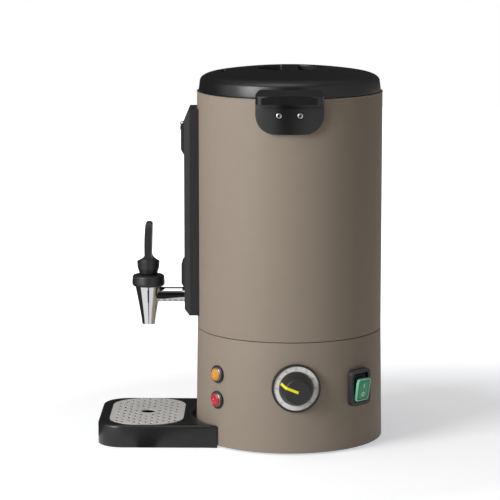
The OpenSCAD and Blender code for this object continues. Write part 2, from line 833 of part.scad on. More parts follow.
module switch_body() {
    depth = 30;
    color([0.12, 0.12, 0.13]) at_wall(switch_angle, switch_z) {
        difference() {
            translate([0, 0, switch_wall_r - depth - 1]) linear_extrude(depth)
                square(switch_cut, center = true);
            translate([0, 0, rocker_pivot - 6]) linear_extrude(20) square(boot_hole, center = true);
            translate([0, 0, rocker_pivot]) rotate([0, 90, 0])
                cylinder(r = trunnion_r + running_gap, h = 20, center = true);
        }
        for (x = [-5, 5], y = [-8, 8]) translate([x - 0.4, y - 3, switch_wall_r - depth - 11])
            cube([0.8, 6, 10.5]);
    }
}

module switch_rocker() {
    color([0.20, 0.72, 0.48]) at_wall(switch_angle, switch_z) translate([0, 0, rocker_pivot])
        rotate([rocker_tilt, 0, 0]) {
            translate([0, 0, rocker_reach - rocker_cap.z]) linear_extrude(rocker_cap.z)
                rounded_rect([rocker_cap.x, rocker_cap.y], 3.5);
            translate([0, 0, (rocker_reach - rocker_cap.z) / 2 - 0.5])
                cube([rocker_neck.x, rocker_neck.y, rocker_reach - rocker_cap.z + 2], center = true);
            rotate([0, 90, 0]) cylinder(r = trunnion_r, h = 19.5, center = true);
        }
}

// --- Lamps ---

module lamp_bezel(z) {
    wall_r = body_r + flare_slope * (seam_z - z);
    difference() {
        union() {
            difference() {
                at_wall(-lamp_angle, z) {
                    translate([0, 0, wall_r - 4]) cylinder(r = lamp_d / 2, h = 4 + lamp_face);
                    translate([0, 0, wall_r]) cylinder(r = lens_d / 2 + lamp_collar, h = lamp_step);
                }
                base_body(fit);
            }
            at_wall(-lamp_angle, z) translate([0, 0, wall_r - lamp_depth])
                cylinder(r = lamp_neck_r, h = lamp_depth + 1);
        }
        at_wall(-lamp_angle, z) {
            translate([0, 0, wall_r + 1]) cylinder(r = lens_d / 2 + fit, h = lamp_depth);
            translate([0, 0, wall_r + 4 - lamp_depth]) cylinder(r = lamp_neck_r - 2, h = lamp_depth + 2);
        }
    }
}

module lamp_bezels() {
    color([0.12, 0.12, 0.12]) for (z = [amber_z, red_z]) lamp_bezel(z);
}

module lamp_lens(z) {
    wall_r = body_r + flare_slope * (seam_z - z);
    dome = 1.2;
    at_wall(-lamp_angle, z) {
        translate([0, 0, wall_r - 6]) cylinder(r = lamp_neck_r - 2 - fit, h = 8);
        translate([0, 0, wall_r + 1]) rotate_extrude() polygon(concat(
            [[0, 0], [lens_d / 2, 0]],
            [for (a = [0:10:90]) [lens_d / 2 * cos(a), lens_reach - 1 - dome + dome * sin(a)]]
        ));
    }
}

module lamp_lens_amber() {
    color([0.90, 0.60, 0.20]) lamp_lens(amber_z);
}

module lamp_lens_red() {
    color([0.80, 0.15, 0.15]) lamp_lens(red_z);
}

module lamp_nuts() {
    color([0.15, 0.15, 0.15]) for (z = [amber_z, red_z])
        at_wall(-lamp_angle, z) translate([0, 0, body_r - base_wall - 4.7])
            tube(lamp_neck_r + 2.8, lamp_neck_r + fit / 2, 4.5);
}

// --- Gauge panel and sight glass ---

// The panel's outline seen from above; grow makes it larger
module panel_plan(grow) {
    w = panel_w / 2 + grow;
    f = panel_face_w / 2 + grow * 0.7;
    front = panel_front + grow;
    side = -front + panel_chamfer + 1.5;
    polygon([[-w, -panel_back], [w, -panel_back], [w, side], [f, -front], [-f, -front], [-w, side]]);
}

// The panel's outline seen from the side, in Y and Z
module panel_side(grow) {
    front = panel_front + grow;
    foot = panel_z - grow;
    top = panel_top + grow;
    polygon([[-panel_back, foot], [-front + 6.5, foot], [-front, foot + 7.5], [-front, top - 15],
        [-front + 6.5, top], [-panel_back, top]]);
}

module panel_swell(low, high, drop) {
    f = panel_front;
    along_x(panel_face_w - 4) polygon([[-f + 1, low - 4], [-f - swell, low + 5], [-f - swell, high - drop],
        [-f + 1, high + 4]]);
}

module gauge_panel() {
    window_z = panel_z + 84;
    window_h = panel_h - 168;
    color([0.10, 0.10, 0.11]) difference() {
        union() {
            intersection() {
                translate([0, 0, panel_z]) linear_extrude(panel_h) panel_plan(0);
                along_x(panel_w) panel_side(0);
            }
            panel_swell(lower_block_z + 24, lower_block_z + 58, 4);
            panel_swell(upper_block_z - 10, upper_block_z + 26, -1);
        }
        difference() {
            intersection() {
                translate([0, 0, panel_z + panel_wall]) linear_extrude(panel_h - 2 * panel_wall)
                    panel_plan(-panel_wall);
                along_x(panel_w) panel_side(-panel_wall);
            }
            for (z = panel_screw_heights, x = [-1, 1])
                at_wall(-90, z) translate([x * panel_screw_x, 0, 0]) cylinder(r = 4, h = panel_front);
        }
        cylinder(r = body_r + fit, h = rim_z);
        translate([-window_w / 2, -panel_front - over, window_z])
            cube([window_w, panel_wall + 2 * over, window_h]);
        at_wall(-90, shank_z) cylinder(r = shank_r + 0.5, h = panel_front + swell + over);
        at_wall(-90, plug_z) cylinder(r = plug_r + fit, h = panel_front + swell + over);
        for (z = panel_screw_heights, x = [-1, 1])
            at_wall(-90, z) translate([x * panel_screw_x, 0, 0])
                cylinder(r = panel_screw_r + fit / 2, h = body_r + 11);
    }
}

module gauge_tube() {
    color([0.75, 0.85, 0.88, 0.5]) translate([0, -glass_out, socket_z + 0.2])
        tube(glass_r, glass_r - glass_wall, glass_top - socket_z - 0.4);
}

module gauge_lower_block() {
    w = 26;
    color([0.16, 0.16, 0.17]) difference() {
        translate([-w / 2, -block_front, lower_block_z]) cube([w, block_front - body_r + 5, lower_block_h]);
        cylinder(r = body_r + 0.2, h = rim_z);
        at_wall(-90, shank_z) cylinder(r = shank_r + fit, h = panel_front);
        translate([0, -glass_out, 0]) {
            translate([0, 0, socket_z]) cylinder(r = glass_r + fit, h = 40);
            translate([0, 0, shank_z]) cylinder(r = 2.5, h = 20);
            translate([0, 0, lower_block_z + lower_block_h - seal_h])
                cylinder(r = seal_r + fit, h = seal_h + over);
        }
    }
}

module gauge_upper_block() {
    w = 22;
    color([0.16, 0.16, 0.17]) difference() {
        translate([-w / 2, -block_front, upper_block_z]) cube([w, block_front - body_r + 5, upper_block_h]);
        cylinder(r = body_r + 0.2, h = rim_z);
        translate([0, -glass_out, 0]) {
            translate([0, 0, upper_block_z - over]) {
                cylinder(r = glass_r + fit, h = glass_top - upper_block_z + over);
                cylinder(r = 2.5, h = plug_z - upper_block_z + over);
                cylinder(r = seal_r + fit, h = seal_h + over);
            }
        }
        at_wall(-90, plug_z) translate([0, 0, glass_out]) cylinder(r = 2.5, h = panel_depth);
    }
}

module gauge_seals() {
    color([0.85, 0.85, 0.84]) for (z = [lower_block_z + lower_block_h - seal_h, upper_block_z])
        translate([0, -glass_out, z]) tube(seal_r, glass_r + 0.05, seal_h);
}

module gauge_vent_plug() {
    plug_l = panel_front + swell - block_front;
    color([0.72, 0.73, 0.74]) at_wall(-90, plug_z) translate([0, 0, block_front]) difference() {
        union() {
            cylinder(r = plug_r, h = plug_l);
            translate([0, 0, plug_l]) cylinder(r1 = plug_r, r2 = plug_r - 1.2, h = 1.4);
        }
        translate([0, 0, plug_l]) cube([1.4, 8, 4], center = true);
    }
}

module panel_screws() {
    head_seat = sqrt(pow(casing_in_r, 2) - pow(panel_screw_x + 3, 2)) - fit;
    color([0.75, 0.76, 0.78]) for (z = panel_screw_heights, x = [-1, 1])
        at_wall(-90, z) translate([x * panel_screw_x, 0, head_seat])
            screw(panel_screw_r, body_r + panel_screw_reach - head_seat, 3, 1.8);
}

// --- Tap ---

module tap_body() {
    cone_h = bonnet_z - tip_z;
    steps = 12;
    color([0.80, 0.81, 0.82]) difference() {
        union() {
            translate([0, -tap_reach, 0]) rotate_extrude() polygon(concat(
                [[0, tip_z]],
                [for (i = [0:steps]) [spout_d / 2 + (cone_top_r - spout_d / 2) * pow(i / steps, 1.15),
                    tip_z + cone_h * i / steps]],
                [[neck_r, bonnet_z], [neck_r, neck_top], [0, neck_top]]
            ));
            at_wall(-90, shank_z) translate([0, 0, shank_end])
                cylinder(r = shank_r, h = tap_reach - shank_end);
        }
        translate([0, -tap_reach, 0]) {
            translate([0, 0, tip_z - over]) cylinder(r = water_r, h = spout_drop);
            translate([0, 0, seat_z]) cylinder(r = chamber_r, h = 40);
        }
        at_wall(-90, shank_z) translate([0, 0, shank_end - over])
            cylinder(r = water_r, h = tap_reach - shank_end - 6);
        translate([0, -glass_out, shank_z]) cylinder(r = 2.5, h = 20);
    }
}

module tap_bonnet() {
    edge = 2.5;
    color([0.09, 0.09, 0.09]) translate([0, -tap_reach, 0]) difference() {
        rotate_extrude() polygon(concat(
            [[0, bonnet_z], [bonnet_r - 1.6, bonnet_z], [bonnet_r - 0.3, bonnet_z + 1.5],
                [bonnet_r, bonnet_z + 4]],
            [for (a = [0:15:90]) [bonnet_r - 0.6, bonnet_top - 0.8] + edge * [cos(a) - 1, sin(a) - 1]],
            [[lever_foot_r + 2, bonnet_top], [0, bonnet_top]]
        ));
        translate([0, 0, bonnet_z - over]) cylinder(r = neck_r + fit, h = neck_top - bonnet_z + fit + over);
        translate([0, 0, bonnet_z]) cylinder(r = stem_r + running_gap, h = bonnet_h + over);
    }
}

module tap_stem() {
    foot_z = seat_z + 2.4;
    top_z = lever_pin_z + 3.6;
    color([0.78, 0.79, 0.80]) translate([0, -tap_reach, 0]) difference() {
        union() {
            translate([0, 0, foot_z]) cylinder(r = stem_r, h = top_z - foot_z);
            translate([0, 0, cup_top + 0.1]) cylinder(r = stem_flange_r, h = stem_flange_t);
        }
        translate([0, 0, lever_pin_z]) rotate([0, 90, 0]) cylinder(r = pin_r + 0.03, h = 20, center = true);
    }
}

module tap_seat_cup() {
    color([0.85, 0.85, 0.84]) translate([0, -tap_reach, seat_z + 0.2]) difference() {
        cylinder(r1 = water_r + 1.5, r2 = cup_out_r, h = 3);
        translate([0, 0, 2.1]) cylinder(r = stem_r + running_gap, h = 20);
    }
    color([0.85, 0.85, 0.84]) translate([0, -tap_reach, seat_z + 3.2])
        tube(cup_out_r, stem_r + running_gap, cup_top - seat_z - 3.2);
}

// The spring's turns; the echo gives the least gap between two turns
module tap_spring() {
    low = cup_top + 0.1 + stem_flange_t + spring_wire_r + 0.1;
    high = neck_top - spring_wire_r - 0.1;
    steps = 12;
    pitch = (high - low) / spring_turns;
    echo(spring_turn_gap = pitch - 2 * spring_wire_r);
    color([0.75, 0.76, 0.78]) translate([0, -tap_reach, 0]) swept_tube(
        [for (i = [0:spring_turns * steps])
            [spring_r * cos(360 * i / steps), spring_r * sin(360 * i / steps), low + pitch * i / steps]],
        spring_wire_r, [0, 0, 1], 6);
}

// The lever's side outline: a cup-shaped base that sweeps up into a leaning paddle
module lever_side() {
    half = paddle_t / 2;
    rim_r = lever_base_d / 2;
    sweep_h = 9;
    lean = 1.2;
    blade_z = lever_rim_z + sweep_h;
    blade_h = paddle_h - sweep_h - half;
    sweep = [for (a = [0:15:90]) [rim_r - (rim_r - half) * sin(a), blade_z - sweep_h * cos(a)]];
    blade = [for (t = [0.15:0.17:1])
        [lean * t * t, half * (1 + 0.06 * sin(180 * t)), blade_z + blade_h * t]];
    top = [lean, blade_z + blade_h];
    polygon(concat(
        [[-rim_r - 1, lever_z - 1], [rim_r + 1, lever_z - 1], [rim_r + 1, lever_rim_z]],
        sweep,
        [for (b = blade) [b[0] + b[1], b[2]]],
        [for (a = [0:20:180]) top + half * [cos(a), sin(a)]],
        [for (i = [len(blade) - 1:-1:0]) [blade[i][0] - blade[i][1], blade[i][2]]],
        [for (i = [len(sweep) - 1:-1:0]) [-sweep[i].x, sweep[i].y]],
        [[-rim_r - 1, lever_rim_z]]
    ));
}

module tap_lever() {
    rim_r = lever_base_d / 2;
    fork_w = stem_d + 2 * free;
    color([0.10, 0.10, 0.11]) translate([0, -tap_reach, 0]) difference() {
        intersection() {
            rotate_extrude() polygon([
                [0, lever_z], [lever_foot_r, lever_z], [lever_foot_r + 1.4, lever_z + 1.2],
                [lever_foot_r + 2.1, lever_z + 3.5], [rim_r - 0.6, lever_z + 8.5], [rim_r, lever_rim_z],
                [rim_r, paddle_top + over], [0, paddle_top + over]
            ]);
            along_x(4 * rim_r) lever_side();
            translate([0, 30, 0]) rotate([90, 0, 0]) linear_extrude(60) union() {
                translate([-rim_r - 2, lever_z - 1]) square([2 * rim_r + 4, lever_base_h + 5]);
                translate([0, (lever_z + paddle_top) / 2])
                    rounded_rect([paddle_w, paddle_top - lever_z], 9);
            }
        }
        translate([-fork_w / 2, -8.6, lever_z - over]) cube([fork_w, 14.2, lever_base_h - 4.5 + over]);
        translate([0, 0, lever_pin_z]) rotate([0, 90, 0])
            cylinder(r = pin_r + running_gap, h = 3 * rim_r, center = true);
    }
}

module tap_lever_pin() {
    color([0.80, 0.80, 0.81]) translate([0, -tap_reach, lever_pin_z]) rotate([0, 90, 0])
        cylinder(r = pin_r, h = 2 * lever_foot_r + 2.4, center = true);
}

module tap_spacer() {
    color([0.80, 0.80, 0.81]) intersection() {
        at_wall(-90, shank_z) translate([0, 0, tank_r - 5])
            tube(shank_r + 4.5, shank_r + fit, tank_gap + 10);
        translate([0, 0, shank_z - shank_d]) tube(casing_in_r - fit, tank_r + 1.6, 2 * shank_d);
    }
}

module tap_washers() {
    washer_t = 1.4;
    color([0.85, 0.40, 0.30]) for (r = [tank_r + fit, tank_in_r - fit - washer_t]) intersection() {
        at_wall(-90, shank_z) translate([0, 0, r - 5]) tube(shank_r + 5, shank_r + fit, 12);
        translate([0, 0, shank_z - shank_d]) tube(r + washer_t, r, 2 * shank_d);
    }
}

module tap_shank_nut() {
    nut_t = 6;
    nut_flats = shank_d + 7;
    seat = sqrt(pow(tank_in_r - 1.6, 2) - pow(nut_flats / sqrt(3), 2));
    color([0.80, 0.80, 0.81]) at_wall(-90, shank_z) translate([0, 0, seat - nut_t])
        hex_nut(nut_flats, shank_r + fit / 2, nut_t);
}

// --- Handles ---

// A handle's outline seen from the front, in Y and Z, with its corners rounded
module handle_front() {
    half = handle_w / 2;
    top = shelf_z + grip_t + grip_reach * tan(grip_slope);
    translate([-half + plate_round, plate_bottom]) square([handle_w - 2 * plate_round, plate_round]);
    translate([-half, plate_bottom + plate_round])
        square([handle_w, top - shelf_corner - plate_bottom - plate_round]);
    translate([-half + shelf_corner, top - 2 * shelf_corner])
        square([handle_w - 2 * shelf_corner, 2 * shelf_corner]);
    for (s = [-1, 1]) {
        translate([s * (half - plate_round), plate_bottom + plate_round]) circle(plate_round);
        translate([s * (half - shelf_corner), top - shelf_corner]) circle(shelf_corner);
    }
}

// A handle on the +X side: a curved plate, a recessed neck and a grip shelf that slopes outwards
module handle_shape() {
    shelf_r = body_r + grip_reach;
    neck_z = shelf_z - neck_h;
    front_top = shelf_z + grip_t;
    difference() {
        intersection() {
            rotate_extrude() polygon([
                [handle_in_r, plate_bottom], [handle_out_r, plate_bottom], [handle_out_r, neck_z],
                [handle_out_r - neck_depth, neck_z], [handle_out_r - neck_depth, shelf_z],
                [shelf_r, shelf_z], [shelf_r, front_top - 2], [shelf_r - 2, front_top],
                [handle_in_r, front_top + grip_reach * tan(grip_slope)]
            ]);
            rotate([90, 0, 90]) linear_extrude(shelf_r + over) handle_front();
            translate([shelf_r - 50 - shelf_corner / 2, 0, 0]) linear_extrude(rim_z + 60)
                rounded_rect([100, handle_w], shelf_corner);
        }
        translate([0, 0, rim_z - 1]) cylinder(r = body_r + rim_lip + 0.6, h = 60);
        for (y = [-1, 1]) at_wall(0, handle_screw_z) translate([y * handle_screw_pitch / 2, 0, 0]) {
            cylinder(r = handle_screw_r + fit, h = shelf_r);
            translate([0, 0, handle_out_r - 3.4]) cylinder(r = 4.4, h = grip_reach);
        }
    }
}

module handle_right() {
    color([0.10, 0.10, 0.11]) handle_shape();
}

module handle_left() {
    color([0.10, 0.10, 0.11]) mirror([1, 0, 0]) handle_shape();
}

module handle_screws() {
    color([0.70, 0.71, 0.72]) for (side = [0, 180], y = [-1, 1])
        at_wall(side, handle_screw_z) translate([y * handle_screw_pitch / 2, 0, handle_out_r - 3.4])
            rotate([180, 0, 0]) screw(handle_screw_r, handle_plate + 4, 3.8, 2.4);
}

module handle_nut_plates() {
    plate = [handle_screw_pitch + nut_plate_h, nut_plate_h];
    thick = 3.4;
    color([0.70, 0.71, 0.73]) for (side = [0, 180]) difference() {
        intersection() {
            at_wall(side, handle_screw_z) linear_extrude(body_r) square(plate, center = true);
            translate([0, 0, handle_screw_z - nut_plate_h])
                tube(casing_in_r - fit, casing_in_r - fit - thick, 2 * nut_plate_h);
        }
        for (y = [-1, 1]) at_wall(side, handle_screw_z) translate([y * handle_screw_pitch / 2, 0, 0])
            cylinder(r = handle_screw_r + fit / 2, h = body_r);
    }
}

// --- Lid ---

// Half of the lid's outline: skirt, shoulder curve and dome, drawn inwards by inset
function lid_outline(inset) =
    let (
        top = lid_top - inset,
        skirt = [lid_r - inset - lid_draft, lid_z + lid_skirt],
        rise = lid_dome_drop / pow(lid_shoulder_r, 2),
        crown = [lid_shoulder_r - inset, top - lid_dome_drop],
        slope = 2 * rise * lid_shoulder_r,
        corner = [skirt.x - 1, crown.y - slope * (skirt.x - 1 - crown.x)]
    )
    concat(
        [[lid_r - inset, lid_z]],
        [for (t = [0:0.125:1]) pow(1 - t, 2) * skirt + 2 * t * (1 - t) * corner + t * t * crown],
        [for (k = [5:-1:0]) let (r = crown.x * k / 6) [r, top - rise * r * r]]
    );

module lid_body(inset) {
    rotate_extrude() polygon(concat([[0, lid_z]], lid_outline(inset)));
}

module pocket_outline(grow) {
    n = 48;
    a = pocket_w / 2 + grow;
    b = pocket_l / 2 + grow;
    polygon([for (k = [0:n - 1]) [a * cos(360 * k / n), b * sin(360 * k / n)]]);
}

module lid() {
    pocket_z = lid_top - pocket_depth;
    boss_edge = (lid_boss_circle + lid_boss_r) / lid_shoulder_r;
    boss_top = lid_top - lid_wall / 2 - lid_dome_drop * pow(boss_edge, 2);
    color([0.13, 0.13, 0.14]) difference() {
        union() {
            difference() {
                lid_body(0);
                translate([0, 0, -0.01]) lid_body(lid_wall);
            }
            intersection() {
                lid_body(0);
                translate([0, 0, pocket_z - lid_wall]) linear_extrude(40) pocket_outline(lid_wall);
            }
            for (a = lid_boss_angles) rotate([0, 0, a]) translate([lid_boss_circle, 0, liner_z + liner_t])
                cylinder(r = lid_boss_r, h = boss_top - liner_z - liner_t);
        }
        difference() {
            translate([0, 0, pocket_z]) linear_extrude(40) pocket_outline(0);
            translate([-pocket_w, -grip_bar_w / 2, pocket_z - over]) cube([2 * pocket_w, grip_bar_w, 60]);
        }
        for (a = lid_boss_angles) rotate([0, 0, a]) translate([lid_boss_circle, 0, liner_z])
            cylinder(r = screw_d / 2 + fit / 2, h = lid_screw_l + 3);
    }
}

module lid_liner() {
    rise = 8;
    color([0.80, 0.81, 0.82]) difference() {
        rotate_extrude() polygon([
            [0, liner_z], [liner_r + 0.8, liner_z], [liner_r + 0.8, liner_z + 1],
            [liner_r, liner_z + 1], [liner_r, liner_z + rise], [liner_r - liner_t, liner_z + rise],
            [liner_r - liner_t, liner_z + liner_t], [0, liner_z + liner_t]
        ]);
        for (a = lid_boss_angles) rotate([0, 0, a]) translate([lid_boss_circle, 0, liner_z - over])
            cylinder(r = screw_d / 2 + 0.2, h = liner_t + 2 * over);
    }
}

module lid_seal() {
    color([0.75, 0.75, 0.74]) translate([0, 0, liner_z + 1]) tube(tank_in_r - free, liner_r + fit / 2, 4);
}

module lid_screws() {
    color([0.75, 0.76, 0.78]) for (a = lid_boss_angles)
        rotate([0, 0, a]) translate([lid_boss_circle, 0, liner_z])
            screw(screw_d / 2, lid_screw_l, screw_head_r, screw_head_t);
}

// --- Drip tray and grid ---

module tray_plan() {
    deep = tray_end - base_bottom_r * 0.7;
    difference() {
        union() {
            translate([0, -tray_end + tray_round]) rounded_rect([tray_w, 2 * tray_round], tray_round - 0.01);
            translate([-tray_x, -tray_end + tray_round]) square([tray_w, deep - tray_round]);
        }
        translate([0, tray_hollow_y]) circle(tray_hollow_r);
    }
}

module drip_tray() {
    color([0.11, 0.11, 0.12]) difference() {
        linear_extrude(tray_h) tray_plan();
        translate([0, grid_y, tray_wall]) linear_extrude(tray_h)
            rounded_rect([grid_l, grid_w] - [1, 1] * 2 * well_margin, grid_round - well_margin);
        translate([0, grid_y, grid_seat]) linear_extrude(tray_h)
            rounded_rect([grid_l, grid_w] + [1, 1] * 2 * grid_gap, grid_round + grid_gap);
    }
}

module drip_grid() {
    columns = floor((grid_w - 14) / hole_pitch_y / 2);
    rows = floor((grid_l - 16) / hole_pitch_x / 2);
    color([0.82, 0.83, 0.84]) translate([0, grid_y, grid_seat + 0.05]) difference() {
        linear_extrude(grid_t) rounded_rect([grid_l, grid_w], grid_round);
        for (c = [-columns:columns], k = [-rows - 1:rows]) {
            x = (k + (c % 2 == 0 ? 0.5 : 0)) * hole_pitch_x + hole_pitch_x / 4;
            y = c * hole_pitch_y;
            corner = [
                max(abs(x) - grid_l / 2 + grid_round, 0), max(abs(y) - grid_w / 2 + grid_round, 0)
            ];
            clear_of_edge = norm(corner) < grid_round - slot_l / 2 - 1
                && abs(x) < grid_l / 2 - slot_l / 2 - 2;
            clear_of_drain = norm([x, y]) > drain_r + slot_l / 2 + 1;
            if (clear_of_edge && clear_of_drain) translate([x, y, -over]) linear_extrude(grid_t + 2 * over)
                rounded_rect([slot_l, slot_w], slot_w / 2 - 0.01);
        }
        translate([0, 0, -over]) cylinder(r = drain_r, h = grid_t + 2 * over);
    }
}

outer_casing();
base_housing();
seam_ring();
base_plate();
base_screws();
foot_ring();
inner_tank();
tie_rods();
heater_plate();
heating_element();
heater_clamp();
heater_nut();
thermostat_body();
thermostat_shaft();
thermostat_bulb();
thermostat_screws();
overheat_cutout();
reset_button();
terminal_block();
earth_stud();
cord_gland();
dial_bezel();
dial_scale();
control_knob();
knob_pointer();
switch_frame();
switch_boot();
switch_body();
switch_rocker();
lamp_bezels();
lamp_lens_amber();
lamp_lens_red();
lamp_nuts();
gauge_panel();
gauge_tube();
gauge_lower_block();
gauge_upper_block();
gauge_seals();
gauge_vent_plug();
panel_screws();
tap_body();
tap_bonnet();
tap_stem();
tap_seat_cup();
tap_spring();
tap_lever();
tap_lever_pin();
tap_spacer();
tap_washers();
tap_shank_nut();
handle_right();
handle_left();
handle_screws();
handle_nut_plates();
lid();
lid_liner();
lid_seal();
lid_screws();
drip_tray();
drip_grid();
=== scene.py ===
# Hot water urn: the looks of each piece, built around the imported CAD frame.
# Sizes are in millimetres unless a name ends in _m; the urn's own axis is x = y = 0, the table is z = 0.
import math
import bmesh
import bpy
from mathutils import Matrix, Vector
from mathutils.geometry import delaunay_2d_cdt


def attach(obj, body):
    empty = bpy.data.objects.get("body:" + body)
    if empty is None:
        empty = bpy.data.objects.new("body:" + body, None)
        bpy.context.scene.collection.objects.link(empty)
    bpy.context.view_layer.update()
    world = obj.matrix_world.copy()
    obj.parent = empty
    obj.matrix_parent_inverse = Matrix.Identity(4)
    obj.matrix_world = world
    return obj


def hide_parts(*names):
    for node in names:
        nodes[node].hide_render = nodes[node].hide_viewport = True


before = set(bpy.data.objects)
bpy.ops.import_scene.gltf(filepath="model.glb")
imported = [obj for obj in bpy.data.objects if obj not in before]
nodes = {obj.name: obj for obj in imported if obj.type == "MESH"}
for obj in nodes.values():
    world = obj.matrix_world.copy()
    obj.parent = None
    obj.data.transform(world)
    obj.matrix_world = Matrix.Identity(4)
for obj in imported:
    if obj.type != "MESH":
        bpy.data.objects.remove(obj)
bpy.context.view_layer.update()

# --- Camera, floor and studio light ---
# A long lens at +X, above the rim, looks slightly down at the dial. The floor is a flat pale sheet that
# turns white away from the urn; a broad lamp on the tap's side and a weak one above light the urn.

camera = bpy.data.objects.new("camera", bpy.data.cameras.new("camera"))
camera.data.sensor_width = 36
camera.data.lens = 184.16
camera.data.clip_start = 0.1
camera.data.clip_end = 30
pitch, yaw = math.radians(9.4115), math.radians(0.8927)
view_line = Vector((-math.cos(pitch) * math.cos(yaw), -math.cos(pitch) * math.sin(yaw), -math.sin(pitch)))
camera.location = (3.3, 0, 0.79293)
camera.rotation_mode = "QUATERNION"
camera.rotation_quaternion = view_line.to_track_quat("-Z", "Y")
bpy.context.scene.collection.objects.link(camera)
bpy.context.scene.camera = camera
bpy.context.scene.view_settings.view_transform = "Standard"

world = bpy.data.worlds.new("studio")
world.use_nodes = True
bpy.context.scene.world = world
world_nodes, world_links = world.node_tree.nodes, world.node_tree.links
world_nodes.clear()
ambient = world_nodes.new("ShaderNodeBackground")
ambient.inputs["Color"].default_value = (1.0, 0.86, 0.70, 1)
ambient.inputs["Strength"].default_value = 0.15
backdrop = world_nodes.new("ShaderNodeBackground")
backdrop.inputs["Color"].default_value = (1, 1, 1, 1)
backdrop.inputs["Strength"].default_value = 1.0
mirrored = world_nodes.new("ShaderNodeBackground")
mirrored.inputs["Strength"].default_value = 1.0
heading = world_nodes.new("ShaderNodeTexCoord")
axes = world_nodes.new("ShaderNodeSeparateXYZ")
azimuth = world_nodes.new("ShaderNodeMath")
azimuth.operation = "ARCTAN2"
turn = world_nodes.new("ShaderNodeMapRange")
turn.inputs["From Min"].default_value = -math.pi
turn.inputs["From Max"].default_value = math.pi
panels = world_nodes.new("ShaderNodeValToRGB")
stops = [(0.0, 0.03), (0.225, 0.03), (0.25, 0.95), (0.448, 1.0), (0.462, 0.01), (0.54, 0.01), (0.555, 0.75),
         (0.75, 0.45), (0.90, 0.12), (1.0, 0.03)]
while len(panels.color_ramp.elements) < len(stops):
    panels.color_ramp.elements.new(0.5)
for stop, (place, shade) in zip(panels.color_ramp.elements, stops):
    stop.position = place
    stop.color = (shade, shade, shade, 1)
height = world_nodes.new("ShaderNodeMapRange")
height.inputs["From Min"].default_value = 0.55
height.inputs["From Max"].default_value = 0.85
overhead = world_nodes.new("ShaderNodeMixRGB")
overhead.inputs["Color2"].default_value = (0.30, 0.30, 0.30, 1)
ray = world_nodes.new("ShaderNodeLightPath")
bounced = world_nodes.new("ShaderNodeMixShader")
seen = world_nodes.new("ShaderNodeMixShader")
world_out = world_nodes.new("ShaderNodeOutputWorld")
world_links.new(heading.outputs["Generated"], axes.inputs["Vector"])
world_links.new(axes.outputs["Y"], azimuth.inputs[0])
world_links.new(axes.outputs["X"], azimuth.inputs[1])
world_links.new(azimuth.outputs["Value"], turn.inputs["Value"])
world_links.new(turn.outputs["Result"], panels.inputs["Fac"])
world_links.new(axes.outputs["Z"], height.inputs["Value"])
world_links.new(height.outputs["Result"], overhead.inputs["Fac"])
world_links.new(panels.outputs["Color"], overhead.inputs["Color1"])
world_links.new(overhead.outputs["Color"], mirrored.inputs["Color"])
world_links.new(ray.outputs["Is Glossy Ray"], bounced.inputs["Fac"])
world_links.new(ambient.outputs["Background"], bounced.inputs[1])
world_links.new(mirrored.outputs["Background"], bounced.inputs[2])
world_links.new(ray.outputs["Is Camera Ray"], seen.inputs["Fac"])
world_links.new(bounced.outputs["Shader"], seen.inputs[1])
world_links.new(backdrop.outputs["Background"], seen.inputs[2])
world_links.new(seen.outputs["Shader"], world_out.inputs["Surface"])


def studio_lamp(name, place_m, aim_m, size_m, watts):
    lamp = bpy.data.objects.new(name, bpy.data.lights.new(name, "AREA"))
    lamp.data.shape = "RECTANGLE"
    lamp.data.size, lamp.data.size_y = size_m
    lamp.data.energy = watts
    lamp.location = place_m
    lamp.rotation_mode = "QUATERNION"
    lamp.rotation_quaternion = (Vector(aim_m) - Vector(place_m)).to_track_quat("-Z", "Y")
    bpy.context.scene.collection.objects.link(lamp)


studio_lamp("lamp_tap_side", (1.75, -2.0, 1.3), (0, 0, 0.25), (1.2, 1.8), 66)
studio_lamp("lamp_top", (0.2, -0.3, 2.2), (0, 0, 0.3), (1.2, 1.2), 7)

floor_mesh = bmesh.new()
sweep = [(4, 0.0), (-4, 0.0)]
left = [floor_mesh.verts.new((x, -4, z)) for x, z in sweep]
right = [floor_mesh.verts.new((x, 4, z)) for x, z in sweep]
for i in range(len(sweep) - 1):
    floor_mesh.faces.new((left[i], left[i + 1], right[i + 1], right[i])).smooth = True
floor_data = bpy.data.meshes.new("studio_floor")
floor_mesh.to_mesh(floor_data)
studio_floor = bpy.data.objects.new("studio_floor", floor_data)
bpy.context.scene.collection.objects.link(studio_floor)
paper = bpy.data.materials.new("studio_paper")
paper.use_nodes = True
paper_nodes, paper_links = paper.node_tree.nodes, paper.node_tree.links
paper_nodes["Principled BSDF"].inputs["Base Color"].default_value = (0.93, 0.93, 0.93, 1)
paper_nodes["Principled BSDF"].inputs["Roughness"].default_value = 0.9
paper_seen = paper_nodes.new("ShaderNodeLightPath")
paper_lift = paper_nodes.new("ShaderNodeMath")
paper_lift.operation = "MULTIPLY"
paper_links.new(paper_seen.outputs["Is Camera Ray"], paper_lift.inputs[0])
paper_far = paper_nodes.new("ShaderNodeVectorMath")
paper_far.operation = "LENGTH"
paper_rise = paper_nodes.new("ShaderNodeMapRange")
paper_rise.inputs["From Min"].default_value = 0.35
paper_rise.inputs["From Max"].default_value = 0.9
paper_rise.inputs["To Min"].default_value = 0.47
paper_rise.inputs["To Max"].default_value = 1.2
paper_where = paper_nodes.new("ShaderNodeNewGeometry")
paper_links.new(paper_where.outputs["Position"], paper_far.inputs[0])
paper_links.new(paper_far.outputs["Value"], paper_rise.inputs["Value"])
paper_links.new(paper_rise.outputs["Result"], paper_lift.inputs[1])
paper_nodes["Principled BSDF"].inputs["Emission Color"].default_value = (0.90, 0.94, 1.0, 1)
paper_links.new(paper_lift.outputs["Value"], paper_nodes["Principled BSDF"].inputs["Emission Strength"])
